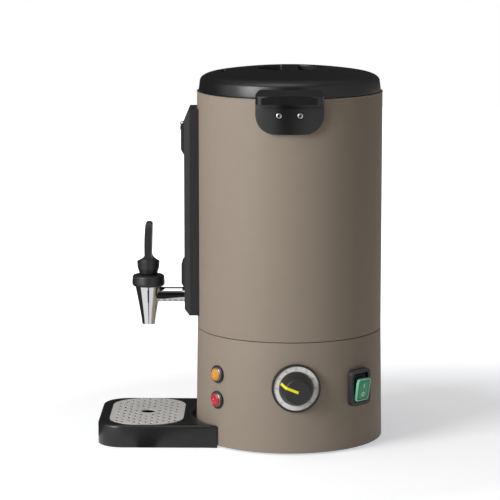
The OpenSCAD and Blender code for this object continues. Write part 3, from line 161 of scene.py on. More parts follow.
# Painted reflection: glossy rays see the floor as a glowing pattern, with a dark strip ahead of the tap and a dark
# far side, so the polished tap shows painted reflection bands
paper_offset = paper_nodes.new("ShaderNodeVectorMath")
paper_offset.operation = "SUBTRACT"
paper_offset.inputs[1].default_value = (0, -0.1845, 0)
paper_axes = paper_nodes.new("ShaderNodeSeparateXYZ")
paper_turn = paper_nodes.new("ShaderNodeMath")
paper_turn.operation = "ARCTAN2"
paper_share = paper_nodes.new("ShaderNodeMapRange")
paper_share.inputs["From Min"].default_value = -math.pi
paper_share.inputs["From Max"].default_value = math.pi
painted_reflection_strips = paper_nodes.new("ShaderNodeValToRGB")
painted_reflection_stops = [(0.292, 0.03), (0.306, 0.85), (0.472, 0.85), (0.481, 0.02), (0.519, 0.02), (0.528, 0.75)]
while len(painted_reflection_strips.color_ramp.elements) < len(painted_reflection_stops):
    painted_reflection_strips.color_ramp.elements.new(0.5)
for stop, (place, shade) in zip(painted_reflection_strips.color_ramp.elements, painted_reflection_stops):
    stop.position = place
    stop.color = (shade, shade, shade, 1)
# Emission for the painted reflection pattern; only glossy rays see it
painted_reflection_glow = paper_nodes.new("ShaderNodeEmission")
paper_mix = paper_nodes.new("ShaderNodeMixShader")
paper_links.new(paper_where.outputs["Position"], paper_offset.inputs[0])
paper_links.new(paper_offset.outputs["Vector"], paper_axes.inputs["Vector"])
paper_links.new(paper_axes.outputs["Y"], paper_turn.inputs[0])
paper_links.new(paper_axes.outputs["X"], paper_turn.inputs[1])
paper_links.new(paper_turn.outputs["Value"], paper_share.inputs["Value"])
paper_links.new(paper_share.outputs["Result"], painted_reflection_strips.inputs["Fac"])
paper_links.new(painted_reflection_strips.outputs["Color"], painted_reflection_glow.inputs["Color"])
paper_links.new(paper_seen.outputs["Is Glossy Ray"], paper_mix.inputs["Fac"])
paper_links.new(paper_nodes["Principled BSDF"].outputs["BSDF"], paper_mix.inputs[1])
paper_links.new(painted_reflection_glow.outputs["Emission"], paper_mix.inputs[2])
paper_links.new(paper_mix.outputs["Shader"], paper_nodes["Material Output"].inputs["Surface"])
studio_floor.data.materials.append(paper)

# --- Upper casing ---
# A rolled sheet-steel cylinder with a fine matt powder coat in warm taupe. It stands in a groove of
# the base and is clamped under the tank's rim; its lower edge is folded in.


def fillet(corners, steps=6):
    """Rounds the corners of an open or closed outline; each corner is (x, y) or (x, y, radius)."""
    made = []
    count = len(corners)
    for i, corner in enumerate(corners):
        here = Vector(corner[:2])
        radius = corner[2] if len(corner) > 2 else 0
        if radius <= 0:
            made.append(tuple(here))
            continue
        back = (Vector(corners[i - 1][:2]) - here).normalized()
        ahead = (Vector(corners[(i + 1) % count][:2]) - here).normalized()
        half = back.angle(ahead) / 2
        reach = radius / math.tan(half)
        middle = here + (back + ahead).normalized() * radius / math.sin(half)
        start, end = here + back * reach - middle, here + ahead * reach - middle
        turn = start.angle_signed(end)
        for k in range(steps + 1):
            angle = -turn * k / steps
            c, s = math.cos(angle), math.sin(angle)
            made.append((middle.x + start.x * c - start.y * s, middle.y + start.x * s + start.y * c))
    return made


def new_piece(name, mesh, crease=35, scale=0.001):
    """Makes an object from a mesh in millimetres, smooth but for edges sharper than crease."""
    data = bpy.data.meshes.new(name)
    mesh.to_mesh(data)
    mesh.free()
    data.transform(Matrix.Scale(scale, 4))
    data.polygons.foreach_set("use_smooth", [True] * len(data.polygons))
    data.set_sharp_from_angle(angle=math.radians(crease))
    piece = bpy.data.objects.new(name, data)
    bpy.context.scene.collection.objects.link(piece)
    return piece


def lathe(mesh, outline, turns=192, closed=True, place=Matrix.Identity(4)):
    """Spins an outline of (radius, height) round the Z axis; points on the axis become one vertex."""
    rings = []
    for radius, height in outline:
        if radius < 1e-6:
            rings.append([mesh.verts.new(place @ Vector((0, 0, height)))] * turns)
        else:
            rings.append([mesh.verts.new(place @ Vector((radius * math.cos(math.tau * k / turns),
                                                         radius * math.sin(math.tau * k / turns), height)))
                          for k in range(turns)])
    pairs = list(zip(rings, rings[1:])) + ([(rings[-1], rings[0])] if closed else [])
    for low, high in pairs:
        for k in range(turns):
            corners = []
            for v in (low[k], low[(k + 1) % turns], high[(k + 1) % turns], high[k]):
                if v not in corners:
                    corners.append(v)
            if len(corners) > 2:
                mesh.faces.new(corners)
    bmesh.ops.recalc_face_normals(mesh, faces=mesh.faces)
    return rings


def finish(name, colour, rough, grain=(900, 0.0), mottle=(40, 0.0), metal=0.0, coat=0.0, uneven=0.0, **sockets):
    """A plain finish with a fine bump (grain: scale, depth in mm) and a faint mottle (scale, amount)."""
    material = bpy.data.materials.new(name)
    material.use_nodes = True
    tree = material.node_tree
    shader = tree.nodes["Principled BSDF"]
    shader.inputs["Base Color"].default_value = (*colour, 1)
    shader.inputs["Roughness"].default_value = rough
    shader.inputs["Metallic"].default_value = metal
    shader.inputs["Coat Weight"].default_value = coat
    for socket, value in sockets.items():
        shader.inputs[socket.replace("_", " ")].default_value = value
    where = tree.nodes.new("ShaderNodeTexCoord")
    if mottle[1]:
        cloud = tree.nodes.new("ShaderNodeTexNoise")
        cloud.inputs["Scale"].default_value = mottle[0]
        cloud.inputs["Detail"].default_value = 4
        shade = tree.nodes.new("ShaderNodeMapRange")
        shade.inputs["To Min"].default_value = 1 - mottle[1]
        shade.inputs["To Max"].default_value = 1 + mottle[1]
        tint = tree.nodes.new("ShaderNodeVectorMath")
        tint.operation = "SCALE"
        tint.inputs[0].default_value = colour
        tree.links.new(where.outputs["Object"], cloud.inputs["Vector"])
        tree.links.new(cloud.outputs["Fac"], shade.inputs["Value"])
        tree.links.new(shade.outputs["Result"], tint.inputs["Scale"])
        tree.links.new(tint.outputs["Vector"], shader.inputs["Base Color"])
    if uneven:
        patch = tree.nodes.new("ShaderNodeTexNoise")
        patch.inputs["Scale"].default_value = 60
        patch.inputs["Detail"].default_value = 5
        spread = tree.nodes.new("ShaderNodeMapRange")
        spread.inputs["To Min"].default_value = max(rough - uneven, 0.02)
        spread.inputs["To Max"].default_value = min(rough + uneven, 1)
        tree.links.new(where.outputs["Object"], patch.inputs["Vector"])
        tree.links.new(patch.outputs["Fac"], spread.inputs["Value"])
        tree.links.new(spread.outputs["Result"], shader.inputs["Roughness"])
    if grain[1]:
        pores = tree.nodes.new("ShaderNodeTexNoise")
        pores.inputs["Scale"].default_value = grain[0]
        pores.inputs["Detail"].default_value = 3
        bump = tree.nodes.new("ShaderNodeBump")
        bump.inputs["Distance"].default_value = grain[1] / 1000
        tree.links.new(where.outputs["Object"], pores.inputs["Vector"])
        tree.links.new(pores.outputs["Fac"], bump.inputs["Height"])
        tree.links.new(bump.outputs["Normal"], shader.inputs["Normal"])
    return material


def dress(piece, material, body, replaces=()):
    """Gives a piece its finish, the body it moves with and the CAD nodes it stands for."""
    if piece.data.materials:
        piece.data.materials.clear()
    piece.data.materials.append(material)
    if body:
        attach(piece, body)
    if replaces:
        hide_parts(*replaces)
    return piece


body_r, seam_z, rim_z, rim_top = 120.0, 146.5, 454.5, 455.7
casing_in_r = 118.5
powder_coat = finish("powder_coat_taupe", (0.292, 0.243, 0.196), 0.62, grain=(1500, 0.05), mottle=(55, 0.035),
                     uneven=0.06)
casing_mesh = bmesh.new()
lathe(casing_mesh, fillet([
    (casing_in_r, seam_z), (body_r, seam_z, 0.7), (body_r, rim_z - 0.3, 0.3), (120.4, rim_z + 0.2, 0.3),
    (120.4, rim_top - 0.1, 0.5), (119.1, rim_top - 0.1, 0.3), (119.1, rim_z - 0.2), (casing_in_r, rim_z - 0.2),
]), turns=256)
dress(new_piece("upper_casing", casing_mesh), powder_coat, "urn", ["outer_casing"])

# --- Base housing and seam ---
# One moulding in the casing's colour, with a little draft so that it widens to the table. It carries
# every control, and a thin black gasket shows as the dark line under the casing.

base_bottom_r, foot_lift = 122.0, 2.5
base_wall, seam_gap = 2.5, 0.8
moulded_taupe = finish("moulded_taupe", (0.286, 0.238, 0.192), 0.58, grain=(1200, 0.04), mottle=(50, 0.03),
                       uneven=0.06)
base_mesh = bmesh.new()
collar_r = casing_in_r - 0.3
lathe(base_mesh, fillet([
    (base_bottom_r, foot_lift, 1.2), (body_r, seam_z - seam_gap, 0.6), (collar_r, seam_z - seam_gap),
    (collar_r, seam_z + 6, 0.8), (collar_r - base_wall, seam_z + 6, 0.8), (collar_r - base_wall, seam_z - 6),
    (body_r - base_wall, seam_z - 11), (base_bottom_r - base_wall, foot_lift),
]), turns=256)
dress(new_piece("base_shell", base_mesh), moulded_taupe, "urn", ["base_housing"])

gasket_black = finish("gasket_black", (0.012, 0.011, 0.010), 0.7, grain=(700, 0.05))
seam_mesh = bmesh.new()
lathe(seam_mesh, fillet([(collar_r + 0.1, seam_z - seam_gap), (body_r - 0.6, seam_z - seam_gap, 0.2),
                         (body_r - 0.6, seam_z, 0.2), (collar_r + 0.1, seam_z)], 3), turns=256)
dress(new_piece("seam_gasket", seam_mesh), gasket_black, "urn", ["seam_ring"])

# --- Lid ---
# A black moulded dome that drops into the tank's rim. Two half-moon finger pockets leave a grip bar
# between them, and two small steam slots lie near the edge. Steel pan, seal and screws are under it.

lid_z, lid_top, lid_r, lid_wall = 455.9, 486.9, 118.0, 3.0
shoulder_r, dome_drop = 98.0, 7.6
black_plastic = finish("black_satin_plastic", (0.021, 0.021, 0.0225), 0.38, grain=(1600, 0.03), mottle=(70, 0.06),
                       uneven=0.07)
lid_black = finish("lid_black", (0.010, 0.010, 0.011), 0.30, grain=(1500, 0.03), mottle=(60, 0.05), uneven=0.05)


def dome_z(x, y):
    return lid_top - dome_drop * (x * x + y * y) / shoulder_r ** 2


def inward(loop, distance):
    """Moves each point of a closed anticlockwise loop to its left by distance."""
    moved = []
    for i, point in enumerate(loop):
        along = Vector(loop[(i + 1) % len(loop)]) - Vector(loop[i - 1])
        moved.append(Vector(point) + Vector((-along.y, along.x)).normalized() * distance)
    return moved


def half_moon(side):
    """The outline of one finger pocket: half of an ellipse with its corners rounded."""
    bar, across, along = 10.0, 42.0, 43.5
    first = math.asin(bar / along)
    arc = [(across * math.cos(t), along * math.sin(t))
           for t in (first + (math.pi - 2 * first) * k / 30 for k in range(31))]
    outline = fillet([(*arc[0], 2.5), *arc[1:-1], (*arc[-1], 2.5)], 4)
    flat = [(outline[-1][0] + (outline[0][0] - outline[-1][0]) * k / 16, bar) for k in range(1, 16)]
    loop = [Vector(p) for p in outline + flat]
    return loop if side > 0 else [-p for p in loop]


def steam_slot(side):
    """A narrow curved slot that follows the lid's edge."""
    middle_r, half_w, spread = 86.0, 2.6, math.radians(9)
    outer = [(t, middle_r + half_w) for t in (-spread + spread * k / 8 for k in range(17))]
    inner = [(t, middle_r - half_w) for t, _ in reversed(outer)]
    turned = [(r * math.sin(-t), r * math.cos(t)) for t, r in outer + inner]
    rounded = fillet([(x, y, 2.2 if i in (0, 16, 17, 33) else 0) for i, (x, y) in enumerate(turned)], 4)
    loop = [Vector(p) for p in rounded]
    return loop if side > 0 else [-p for p in loop]


hollows = [(half_moon(s), 17.0, 1.6, 2.0) for s in (1, -1)] + [(steam_slot(s), 5.0, 0.7, 0.8) for s in (1, -1)]
lid_mesh = bmesh.new()
turns = 256
rim_loop = [Vector((shoulder_r * math.cos(math.tau * k / turns), shoulder_r * math.sin(math.tau * k / turns)))
            for k in range(turns)]
lips = [inward(loop, -lip) for loop, depth, lip, foot in hollows]
flat_points, ring_edges, taken = [], [], []
for loop in [rim_loop] + lips:
    start = len(flat_points)
    flat_points += loop
    ring_edges += [(start + i, start + (i + 1) % len(loop)) for i in range(len(loop))]
    taken.append((start, len(loop)))


def inside(point, loop):
    odd = False
    for a, b in zip(loop, loop[1:] + loop[:1]):
        if (a.y > point.y) != (b.y > point.y) and point.x < (b.x - a.x) * (point.y - a.y) / (b.y - a.y) + a.x:
            odd = not odd
    return odd


for ring in range(16):
    r = 4 + 6 * ring
    count = max(8, int(math.tau * r / 6))
    for k in range(count):
        p = Vector((r * math.cos(math.tau * k / count), r * math.sin(math.tau * k / count)))
        near = min((p - q).length for lip in lips for q in lip)
        if near > 2.5 and not any(inside(p, lip) for lip in lips):
            flat_points.append(p)
made_points, _, made_faces, _, _, _ = delaunay_2d_cdt(flat_points, ring_edges, [], 1, 1e-6)
top_verts = [lid_mesh.verts.new((p.x, p.y, dome_z(p.x, p.y))) for p in made_points]
for face in made_faces:
    middle = sum((made_points[i] for i in face), Vector((0, 0))) / len(face)
    if not any(inside(middle, lip) for lip in lips):
        lid_mesh.faces.new([top_verts[i] for i in face])


def bridge(mesh, low, high, finish_index=0):
    for i in range(len(low)):
        j = (i + 1) % len(low)
        mesh.faces.new((low[i], low[j], high[j], high[i])).material_index = finish_index


for (loop, depth, lip, foot), (start, count) in zip(hollows, taken[1:]):
    rings = [top_verts[start:start + count]]
    floor_z = lid_top - depth if depth > 10 else None
    for k in range(1, 6):
        a = math.radians(90 * k / 5)
        edge = inward(loop, -lip * (1 - math.sin(a)))
        rings.append([lid_mesh.verts.new((p.x, p.y, dome_z(p.x, p.y) - lip * (1 - math.cos(a)))) for p in edge])
    for k in range(6):
        a = math.radians(90 * k / 5)
        edge = inward(loop, foot * (1 - math.cos(a)))
        rings.append([lid_mesh.verts.new((p.x, p.y, (floor_z or dome_z(p.x, p.y) - depth) + foot * (1 - math.sin(a))))
                      for p in edge])
    # The lower walls and floors of the pockets and slots get the second finish: painted shade, darker than the lid's
    # black
    for k, (low, high) in enumerate(zip(rings, rings[1:])):
        bridge(lid_mesh, low, high, 0 if k < 5 else 1)
    lid_mesh.faces.new(rings[-1]).material_index = 1

skirt = Vector((lid_r - 1.6, lid_z + 13))
crown = Vector((shoulder_r, lid_top - dome_drop))
slope = 2 * dome_drop / shoulder_r
corner = Vector((skirt.x - 1, crown.y - slope * (skirt.x - 1 - crown.x)))
shoulder = [(1 - t) ** 2 * crown + 2 * t * (1 - t) * corner + t * t * skirt for t in (k / 14 for k in range(1, 15))]
edge = fillet([tuple(skirt), (lid_r, lid_z, 1.4), (lid_r - lid_wall, lid_z, 0.6),
               (lid_r - lid_wall - 1.6, lid_z + 12)],
              5)[1:]
under = [(108, lid_top - dome_drop - 12), (92, lid_top - dome_drop - 3), (50, lid_top - 21), (0.0, lid_top - 20.5)]
last = top_verts[taken[0][0]:taken[0][0] + turns]
for radius, height in [tuple(p) for p in shoulder] + edge + under[:-1]:
    ring = [lid_mesh.verts.new((radius * math.cos(math.tau * k / turns), radius * math.sin(math.tau * k / turns),
                                height)) for k in range(turns)]
    bridge(lid_mesh, last, ring)
    last = ring
lid_mesh.faces.new(last)
bmesh.ops.recalc_face_normals(lid_mesh, faces=lid_mesh.faces)
lid_dome = dress(new_piece("lid_dome", lid_mesh, crease=40), lid_black, "lid_set", ["lid"])
# A darker black for the hollows' lower walls and floors: painted shade
lid_dome.data.materials.append(finish("hollow_painted_shade", (0.006, 0.006, 0.0065), 0.6, grain=(900, 0.04)))

# --- Lid fittings ---
# A shallow stainless pan closes the lid's underside; three screws pull it to the dome's bosses and
# a silicone ring on its edge seals the tank.


def dress_node(name, material, edge=0.0, crease=28):
    """Gives a CAD node its finish, smooth shading on its curved faces and softened edges."""
    node = nodes[name]
    node.data.polygons.foreach_set("use_smooth", [True] * len(node.data.polygons))
    node.data.set_sharp_from_angle(angle=math.radians(crease))
    node.data.materials.clear()
    node.data.materials.append(material)
    if edge:
        soften = node.modifiers.new("softened_edges", "BEVEL")
        soften.width = edge / 1000
        soften.segments = 3
        soften.limit_method = "ANGLE"
        soften.angle_limit = math.radians(32)
        soften.harden_normals = True
    return node


pan_steel = finish("brushed_pan_steel", (0.60, 0.61, 0.62), 0.32, grain=(500, 0.02), metal=1.0, uneven=0.08)
zinc = finish("zinc_plate", (0.62, 0.63, 0.65), 0.36, grain=(400, 0.02), mottle=(90, 0.05), metal=1.0, uneven=0.1)
silicone = finish("white_silicone", (0.70, 0.70, 0.68), 0.5, grain=(500, 0.03), mottle=(60, 0.04))
dress_node("lid_liner", pan_steel)
dress_node("lid_seal", silicone)
dress_node("lid_screws", zinc, 0.25)

# --- Handles ---
# Two glossy black mouldings screwed through the casing into nut plates inside it: a curved plate, a
# recessed neck and a sloping grip shelf. Their two socket screws sit in round wells.

handle_black = finish("handle_black", (0.012, 0.012, 0.013), 0.24, grain=(1500, 0.02), mottle=(60, 0.05), uneven=0.05)
dress_node("handle_right", handle_black, 1.4)
dress_node("handle_left", handle_black, 1.4)
dress_node("handle_nut_plates", zinc, 0.3)


def at_wall(angle, z):
    """The place on the urn's axis from which local Z points out of the wall at an angle in degrees."""
    turn = Matrix.Rotation(math.radians(angle), 4, "Z")
    return Matrix.Translation((0, 0, z)) @ turn @ Matrix(((0, 0, 1, 0), (1, 0, 0, 0), (0, 1, 0, 0), (0, 0, 0, 1)))


def lathe_at(mesh, outline, place, turns=64, second_from=99):
    """Spins an outline from axis to axis; its stretches from second_from on get the second finish."""
    before = len(mesh.faces)
    lathe(mesh, outline, turns, False, place)
    mesh.faces.ensure_lookup_table()
    for i, face in enumerate(mesh.faces[before:]):
        face.material_index = int(i // turns >= second_from)


screw_mesh = bmesh.new()
for side in (0, 180):
    for y in (-13.25, 13.25):
        place = at_wall(side, 436.0) @ Matrix.Translation((y, 0, 0))
        lathe_at(screw_mesh, fillet([(0, 122.7), (3.8, 122.7), (3.8, 124.4, 0.8), (2.0, 125.1, 0.3), (1.9, 123.4),
                                     (0, 123.2)], 4), place, 48, 11)
        lathe_at(screw_mesh, [(0, 112.7), (2, 112.7), (2, 123.0), (0, 123.0)], place, 24)
handle_screws = dress(new_piece("handle_socket_screws", screw_mesh), zinc, "urn", ["handle_screws"])
# The sockets' walls and floors take the black gasket finish: painted shade in the sockets
handle_screws.data.materials.append(gasket_black)

# --- Tank ---
# A deep-drawn stainless vessel, rolled out over the casing at its rim, with a brushed inside.

tank_steel = finish("brushed_tank_steel", (0.58, 0.59, 0.60), 0.3, grain=(350, 0.03), mottle=(30, 0.03), metal=1.0,
                    uneven=0.08)
tank_mesh = bmesh.new()
lathe(tank_mesh, fillet([
    (0, 158.8), (103, 158.8, 5), (109, 164.8, 5), (109, rim_z, 0.8), (118.8, rim_z, 0.3), (118.8, rim_top, 0.4),
    (107.8, rim_top, 1.6), (107.8, 166, 6), (101.8, 160, 4), (0, 160),
]), turns=256, closed=False)
tank_shell = dress(new_piece("tank_shell", tank_mesh), tank_steel, "urn")

# --- Gauge panel ---
# A long black moulding over the sight glass, screwed on from inside the casing. It swells over the
# tap's block and over the upper block, and a slot shows the glass.

dress_node("gauge_panel", black_plastic, 1.5)
glass = bpy.data.materials.new("gauge_glass")
glass.use_nodes = True
shader = glass.node_tree.nodes["Principled BSDF"]
shader.inputs["Base Color"].default_value = (0.86, 0.94, 0.93, 1)
shader.inputs["Roughness"].default_value = 0.04
shader.inputs["IOR"].default_value = 1.5
shader.inputs["Transmission Weight"].default_value = 0.95
dress_node("gauge_tube", glass)
dark_moulding = finish("dark_moulding", (0.035, 0.035, 0.038), 0.45, grain=(900, 0.03), mottle=(70, 0.05))
dress_node("gauge_lower_block", dark_moulding, 0.5)
dress_node("gauge_upper_block", dark_moulding, 0.5)
dress_node("gauge_seals", silicone)
dress_node("panel_screws", zinc, 0.2)

# --- Tap ---
# A polished plated brass body with a tapering spout, held by a nut on its shank inside the tank.
# A black bonnet screws onto it, and a black lever lifts the stem against a spring.

chrome = finish("polished_chrome", (0.80, 0.81, 0.83), 0.06, grain=(120, 0.01), metal=1.0, uneven=0.02)
dress_node("tap_body", chrome)
dress_node("tap_bonnet", black_plastic, 0.4)
dress_node("tap_lever", black_plastic, 1.2)
for part in ("tap_stem", "tap_lever_pin", "tap_spacer"):
    dress_node(part, chrome)
dress_node("tap_shank_nut", zinc, 0.4)
dress_node("tap_spring", zinc)
dress_node("tap_seat_cup", silicone)
red_silicone = finish("red_silicone", (0.42, 0.05, 0.03), 0.5, grain=(500, 0.03), mottle=(60, 0.05))
dress_node("tap_washers", red_silicone)
dress_node("gauge_vent_plug", chrome, 0.3)

# --- Thermostat dial ---
# A black cup holds a white printed ring with its temperature marks. The knob tapers outwards to a flat
# face and is pressed on the thermostat's shaft; a yellow pointer is let into its side and face.

dress_node("dial_bezel", black_plastic, 0.5)
scale_white = finish("printed_white", (0.86, 0.86, 0.85), 0.4, mottle=(80, 0.02))
dress_node("dial_scale", scale_white)
dress_node("control_knob", black_plastic, 0.5)
pointer_yellow = finish("pointer_yellow", (0.95, 0.88, 0.01), 0.35)
dress_node("knob_pointer", pointer_yellow, 0.3)

dial_place = at_wall(4.3, 88.0) @ Matrix.Translation((0, 0, 120.813 + 2.43))
marks_mesh = bmesh.new()
# Which of the seven strokes (top, two upper, middle, two lower, bottom) each digit has
strokes = {"0": "1110111", "1": "0010010", "2": "1011101", "3": "1011011", "4": "0111010", "5": "1101011",
           "6": "1101111", "7": "1010010", "8": "1111111", "9": "1111011"}
stroke_boxes = [(0, 1, 1, 0.16), (-0.5, 0.5, 0.16, 1), (0.5, 0.5, 0.16, 1), (0, 0, 1, 0.16), (-0.5, -0.5, 0.16, 1),
                (0.5, -0.5, 0.16, 1), (0, -1, 1, 0.16)]


def mark(place, x, y, w, h):
    corners = [place @ Vector((x + sx * w / 2, y + sy * h / 2, 0)) for sx, sy in ((-1, -1), (1, -1), (1, 1), (-1, 1))]
    marks_mesh.faces.new([marks_mesh.verts.new(c) for c in corners])


labels = {0: "0", 3: "30", 5: "40", 7: "50", 9: "60", 11: "70", 13: "80", 15: "90", 18: "100"}
for step in range(19):
    spot = dial_place @ Matrix.Rotation(math.radians(135 - 15 * step), 4, "Z") @ Matrix.Translation((0, 27.0, 0))
    mark(spot, 0, 0, 0.35, 2.0 if step in labels else 1.2)
    label = labels.get(step, "")
    for k, digit in enumerate(label):
        middle = spot @ Matrix.Translation(((k - (len(label) - 1) / 2) * 1.7, -2.5, 0))
        for on, (x, y, w, h) in zip(strokes[digit], stroke_boxes):
            if on == "1":
                mark(middle, x * 1.0, y * 0.95, w + 0.06, h * 0.95 + 0.06)
print_grey = finish("scale_print", (0.16, 0.16, 0.17), 0.5)
dress(new_piece("dial_marks", marks_mesh), print_grey, "urn")

# --- Switch ---
# A double-pole rocker in a rubbery black frame. A pleated splash boot runs from the frame to the
# rocker, whose green cap has a clear raised border and white I and O marks.

frame_black = finish("frame_black", (0.032, 0.028, 0.036), 0.5, grain=(900, 0.04), mottle=(70, 0.06), uneven=0.06)
dress_node("switch_frame", frame_black, 1.8)
dress_node("switch_body", dark_moulding)
switch_wall = 120 + 2 / 144 * (146.5 - 82)
switch_place = at_wall(47, 82.0)
rocker_tilt = Matrix.Rotation(math.radians(10), 4, "X")
rocker_place = switch_place @ Matrix.Translation((0, 0, switch_wall - 6.5)) @ rocker_tilt


def rounded_loop(width, height, radius, steps=5):
    half_w, half_h = width / 2, height / 2
    return fillet([(-half_w, -half_h, radius), (half_w, -half_h, radius), (half_w, half_h, radius),
                   (-half_w, half_h, radius)], steps)


def loft(mesh, rings, finish_indices=None, cap_start=True, cap_end=True):
    """Joins rings of equal length, each (place, loop, height), and closes the ends that are asked for."""
    made = [[mesh.verts.new(place @ Vector((x, y, z))) for x, y in loop] for place, loop, z in rings]
    for k, (low, high) in enumerate(zip(made, made[1:])):
        bridge(mesh, low, high, finish_indices[k] if finish_indices else 0)
    if cap_start:
        mesh.faces.new(list(reversed(made[0]))).material_index = finish_indices[0] if finish_indices else 0
    if cap_end:
        mesh.faces.new(made[-1]).material_index = finish_indices[-1] if finish_indices else 0
    return made


cap_mesh = bmesh.new()
base, top = 13.9, 17.0
cap = [(24, 30, 3.5, base), (24, 30, 3.5, top - 0.5), (23.2, 29.2, 3.2, top), (20.0, 26.0, 2.6, top),
       (19.6, 25.6, 2.5, top - 0.5), (17.6, 23.6, 2.4, top - 0.5), (17.2, 23.2, 2.3, top - 0.15),
       (15.5, 21.5, 2.0, top - 0.1)]
loft(cap_mesh, [(rocker_place, rounded_loop(w, h, r), z) for w, h, r, z in cap], [1, 1, 1, 1, 2, 0, 0])
loft(cap_mesh, [(rocker_place, rounded_loop(w, h, 1.0), z) for w, h, z in ((13, 17, 0.6), (13, 17, base))], [0])
lathe_at(cap_mesh, [(0, -9.75), (2, -9.75), (2, 9.75), (0, 9.75)],
         rocker_place @ Matrix.Rotation(math.radians(90), 4, "Y"), 24)
loft(cap_mesh, [(rocker_place @ Matrix.Translation((0, 5.5, 0)), rounded_loop(1.9, 5.6, 0.4), z)
                for z in (top - 0.2, top)], [3])
rings = []
for radius, z in ((3.1, top - 0.15), (3.1, top), (1.7, top), (1.7, top - 0.15)):
    loop = [(radius * math.cos(math.tau * k / 24), -5.5 + radius * math.sin(math.tau * k / 24)) for k in range(24)]
    rings.append((rocker_place, loop, z))
loft(cap_mesh, rings, [3, 3, 3], False, False)
rocker_green = finish("rocker_green", (0.015, 0.42, 0.19), 0.2)
rocker_cap = dress(new_piece("rocker_cap", cap_mesh), rocker_green, "rocker", ["switch_rocker"])
rocker_cap.data.materials.append(finish("clear_green_border", (0.22, 0.66, 0.45), 0.15, coat=0.3))
rocker_cap.data.materials.append(finish("dark_green_line", (0.005, 0.10, 0.05), 0.4))
rocker_cap.data.materials.append(finish("mark_white", (0.88, 0.95, 0.90), 0.4))

boot_mesh = bmesh.new()
pleats = [(26.6, 37.6, 4.0, -3.0), (26.6, 37.6, 4.0, 1.2), (25.6, 36.6, 4.0, 3.2), (24.4, 34.6, 3.8, 3.4),
          (23.4, 32.8, 3.6, 1.8), (22.4, 31.0, 3.4, 3.8), (21.2, 29.4, 3.2, 3.9), (20.2, 28.0, 3.0, 2.2),
          (19.0, 26.6, 2.8, 4.4), (17.4, 25.2, 2.4, 4.6), (15.1, 23.1, 1.2, 4.0), (15.1, 23.1, 1.2, -3.0)]
loft(boot_mesh, [(switch_place, rounded_loop(w, h, r), switch_wall + z) for w, h, r, z in pleats], None, False, False)
boot_rubber = finish("boot_rubber", (0.014, 0.014, 0.015), 0.42, grain=(700, 0.03))
dress(new_piece("switch_splash_boot", boot_mesh, crease=50), boot_rubber, "urn", ["switch_boot"])

# --- Lamps ---
# Two neon lamps: a black flange, a grey stepped collar and a coloured lens with moulded flutes. A ring
# nut holds each from inside.

amber = finish("lens_amber", (0.80, 0.36, 0.04), 0.12, Transmission_Weight=0.15, IOR=1.5)
red = finish("lens_red", (0.62, 0.03, 0.05), 0.12, Transmission_Weight=0.15, IOR=1.5)
collar_grey = finish("collar_grey", (0.22, 0.22, 0.23), 0.25, metal=0.6, grain=(700, 0.02))
flange_mesh = bmesh.new()
for z, name, tint, slot in ((97.0, "amber", amber, "lens_amber"), (63.4, "red", red, "lens_red")):
    place = at_wall(-49.3, z) @ Matrix.Translation((0, 0, 120 + 2 / 144 * (146.5 - z)))
    lathe(flange_mesh, fillet([(9.6, -2.6), (11.45, -2.6), (11.45, 2.3, 0.9), (10.5, 3.0, 0.5), (9.6, 2.9, 0.2)], 4),
          72, True, place)
    before = len(flange_mesh.faces)
    lathe(flange_mesh, fillet([(7.9, 1.0), (9.55, 1.0), (9.55, 3.5, 0.5), (8.6, 4.2, 0.4), (7.9, 4.2, 0.2)], 4),
          72, True, place)
    flange_mesh.faces.ensure_lookup_table()
    for face in flange_mesh.faces[before:]:
        face.material_index = 1
    lathe(flange_mesh, [(5.2, -18), (7.25, -18), (7.25, 1.0), (7.8, 1.0), (5.2, 0.9)], 48, True, place)
    lens_mesh = bmesh.new()
    rings = lathe(lens_mesh, fillet([
        (0, -6), (5.1, -6), (5.1, 1.0), (7.75, 1.0), (7.75, 5.0, 0.6), (6.9, 5.6, 0.4), (6.2, 5.6, 0.2),
        (5.6, 5.2, 0.2), (4.8, 6.2, 0.5), (2.2, 6.35, 0.3), (1.6, 6.0, 0.2), (0, 6.05),
    ], 3), 80, False, place)
    outwards = place.to_3x3() @ Vector((0, 0, 1))
    for ring in rings[5:-1]:
        for k, vert in enumerate(ring):
            vert.co += outwards * 0.16 * math.cos(math.tau * 10 * k / 80)
    dress(new_piece(name + "_lens", lens_mesh, crease=24), tint, "urn", ["lamp_lens_" + name])
flanges = dress(new_piece("lamp_flanges", flange_mesh), black_plastic, "urn", ["lamp_bezels"])
flanges.data.materials.append(collar_grey)
dress_node("lamp_nuts", dark_moulding)

# --- Drip tray ---
# A deep black moulding with softly rounded edges and a hollow end that fits round the urn. The
# perforated stainless grid lies in a seat round its well.

tray_h, tray_x, tray_end, tray_corner = 29.5, 82.5, 248.5, 34.0
grid_y, grid_half = -186.05, (76.0, 48.25)
tip_y = -math.sqrt(122.5 ** 2 - tray_x ** 2)
bite = 128 + tip_y
hollow_r = (tray_x ** 2 + bite ** 2) / (2 * bite)
hollow_y = hollow_r - 128
tip_angle = math.asin(tray_x / hollow_r)
hollow = [(hollow_r * math.sin(a), hollow_y - hollow_r * math.cos(a))
          for a in (tip_angle - 2 * tip_angle * k / 48 for k in range(1, 48))]
near_tip = [(tray_x, tip_y - d) for d in (24, 18, 13, 9, 7, 5, 3.5)]
plan = fillet([(-tray_x, -tray_end, tray_corner), (tray_x, -tray_end, tray_corner), *near_tip, (tray_x, tip_y, 1.2),
               *hollow, (-tray_x, tip_y, 1.2), *[(-x, y) for x, y in reversed(near_tip)]], 12)
plan = [Vector(p) for p in plan]
tips = (Vector((tray_x, tip_y)), Vector((-tray_x, tip_y)))
softness = [min(1, max(0.15, min((p - tip).length for tip in tips) / 18)) for p in plan]


def seat_loop(grow, steps=12):
    """The grid's outline, made larger by grow, round the grid's middle."""
    loop = rounded_loop(2 * grid_half[0] + 2 * grow, 2 * grid_half[1] + 2 * grow, 40 + grow, steps)
    return [Vector((x, y + grid_y)) for x, y in loop]


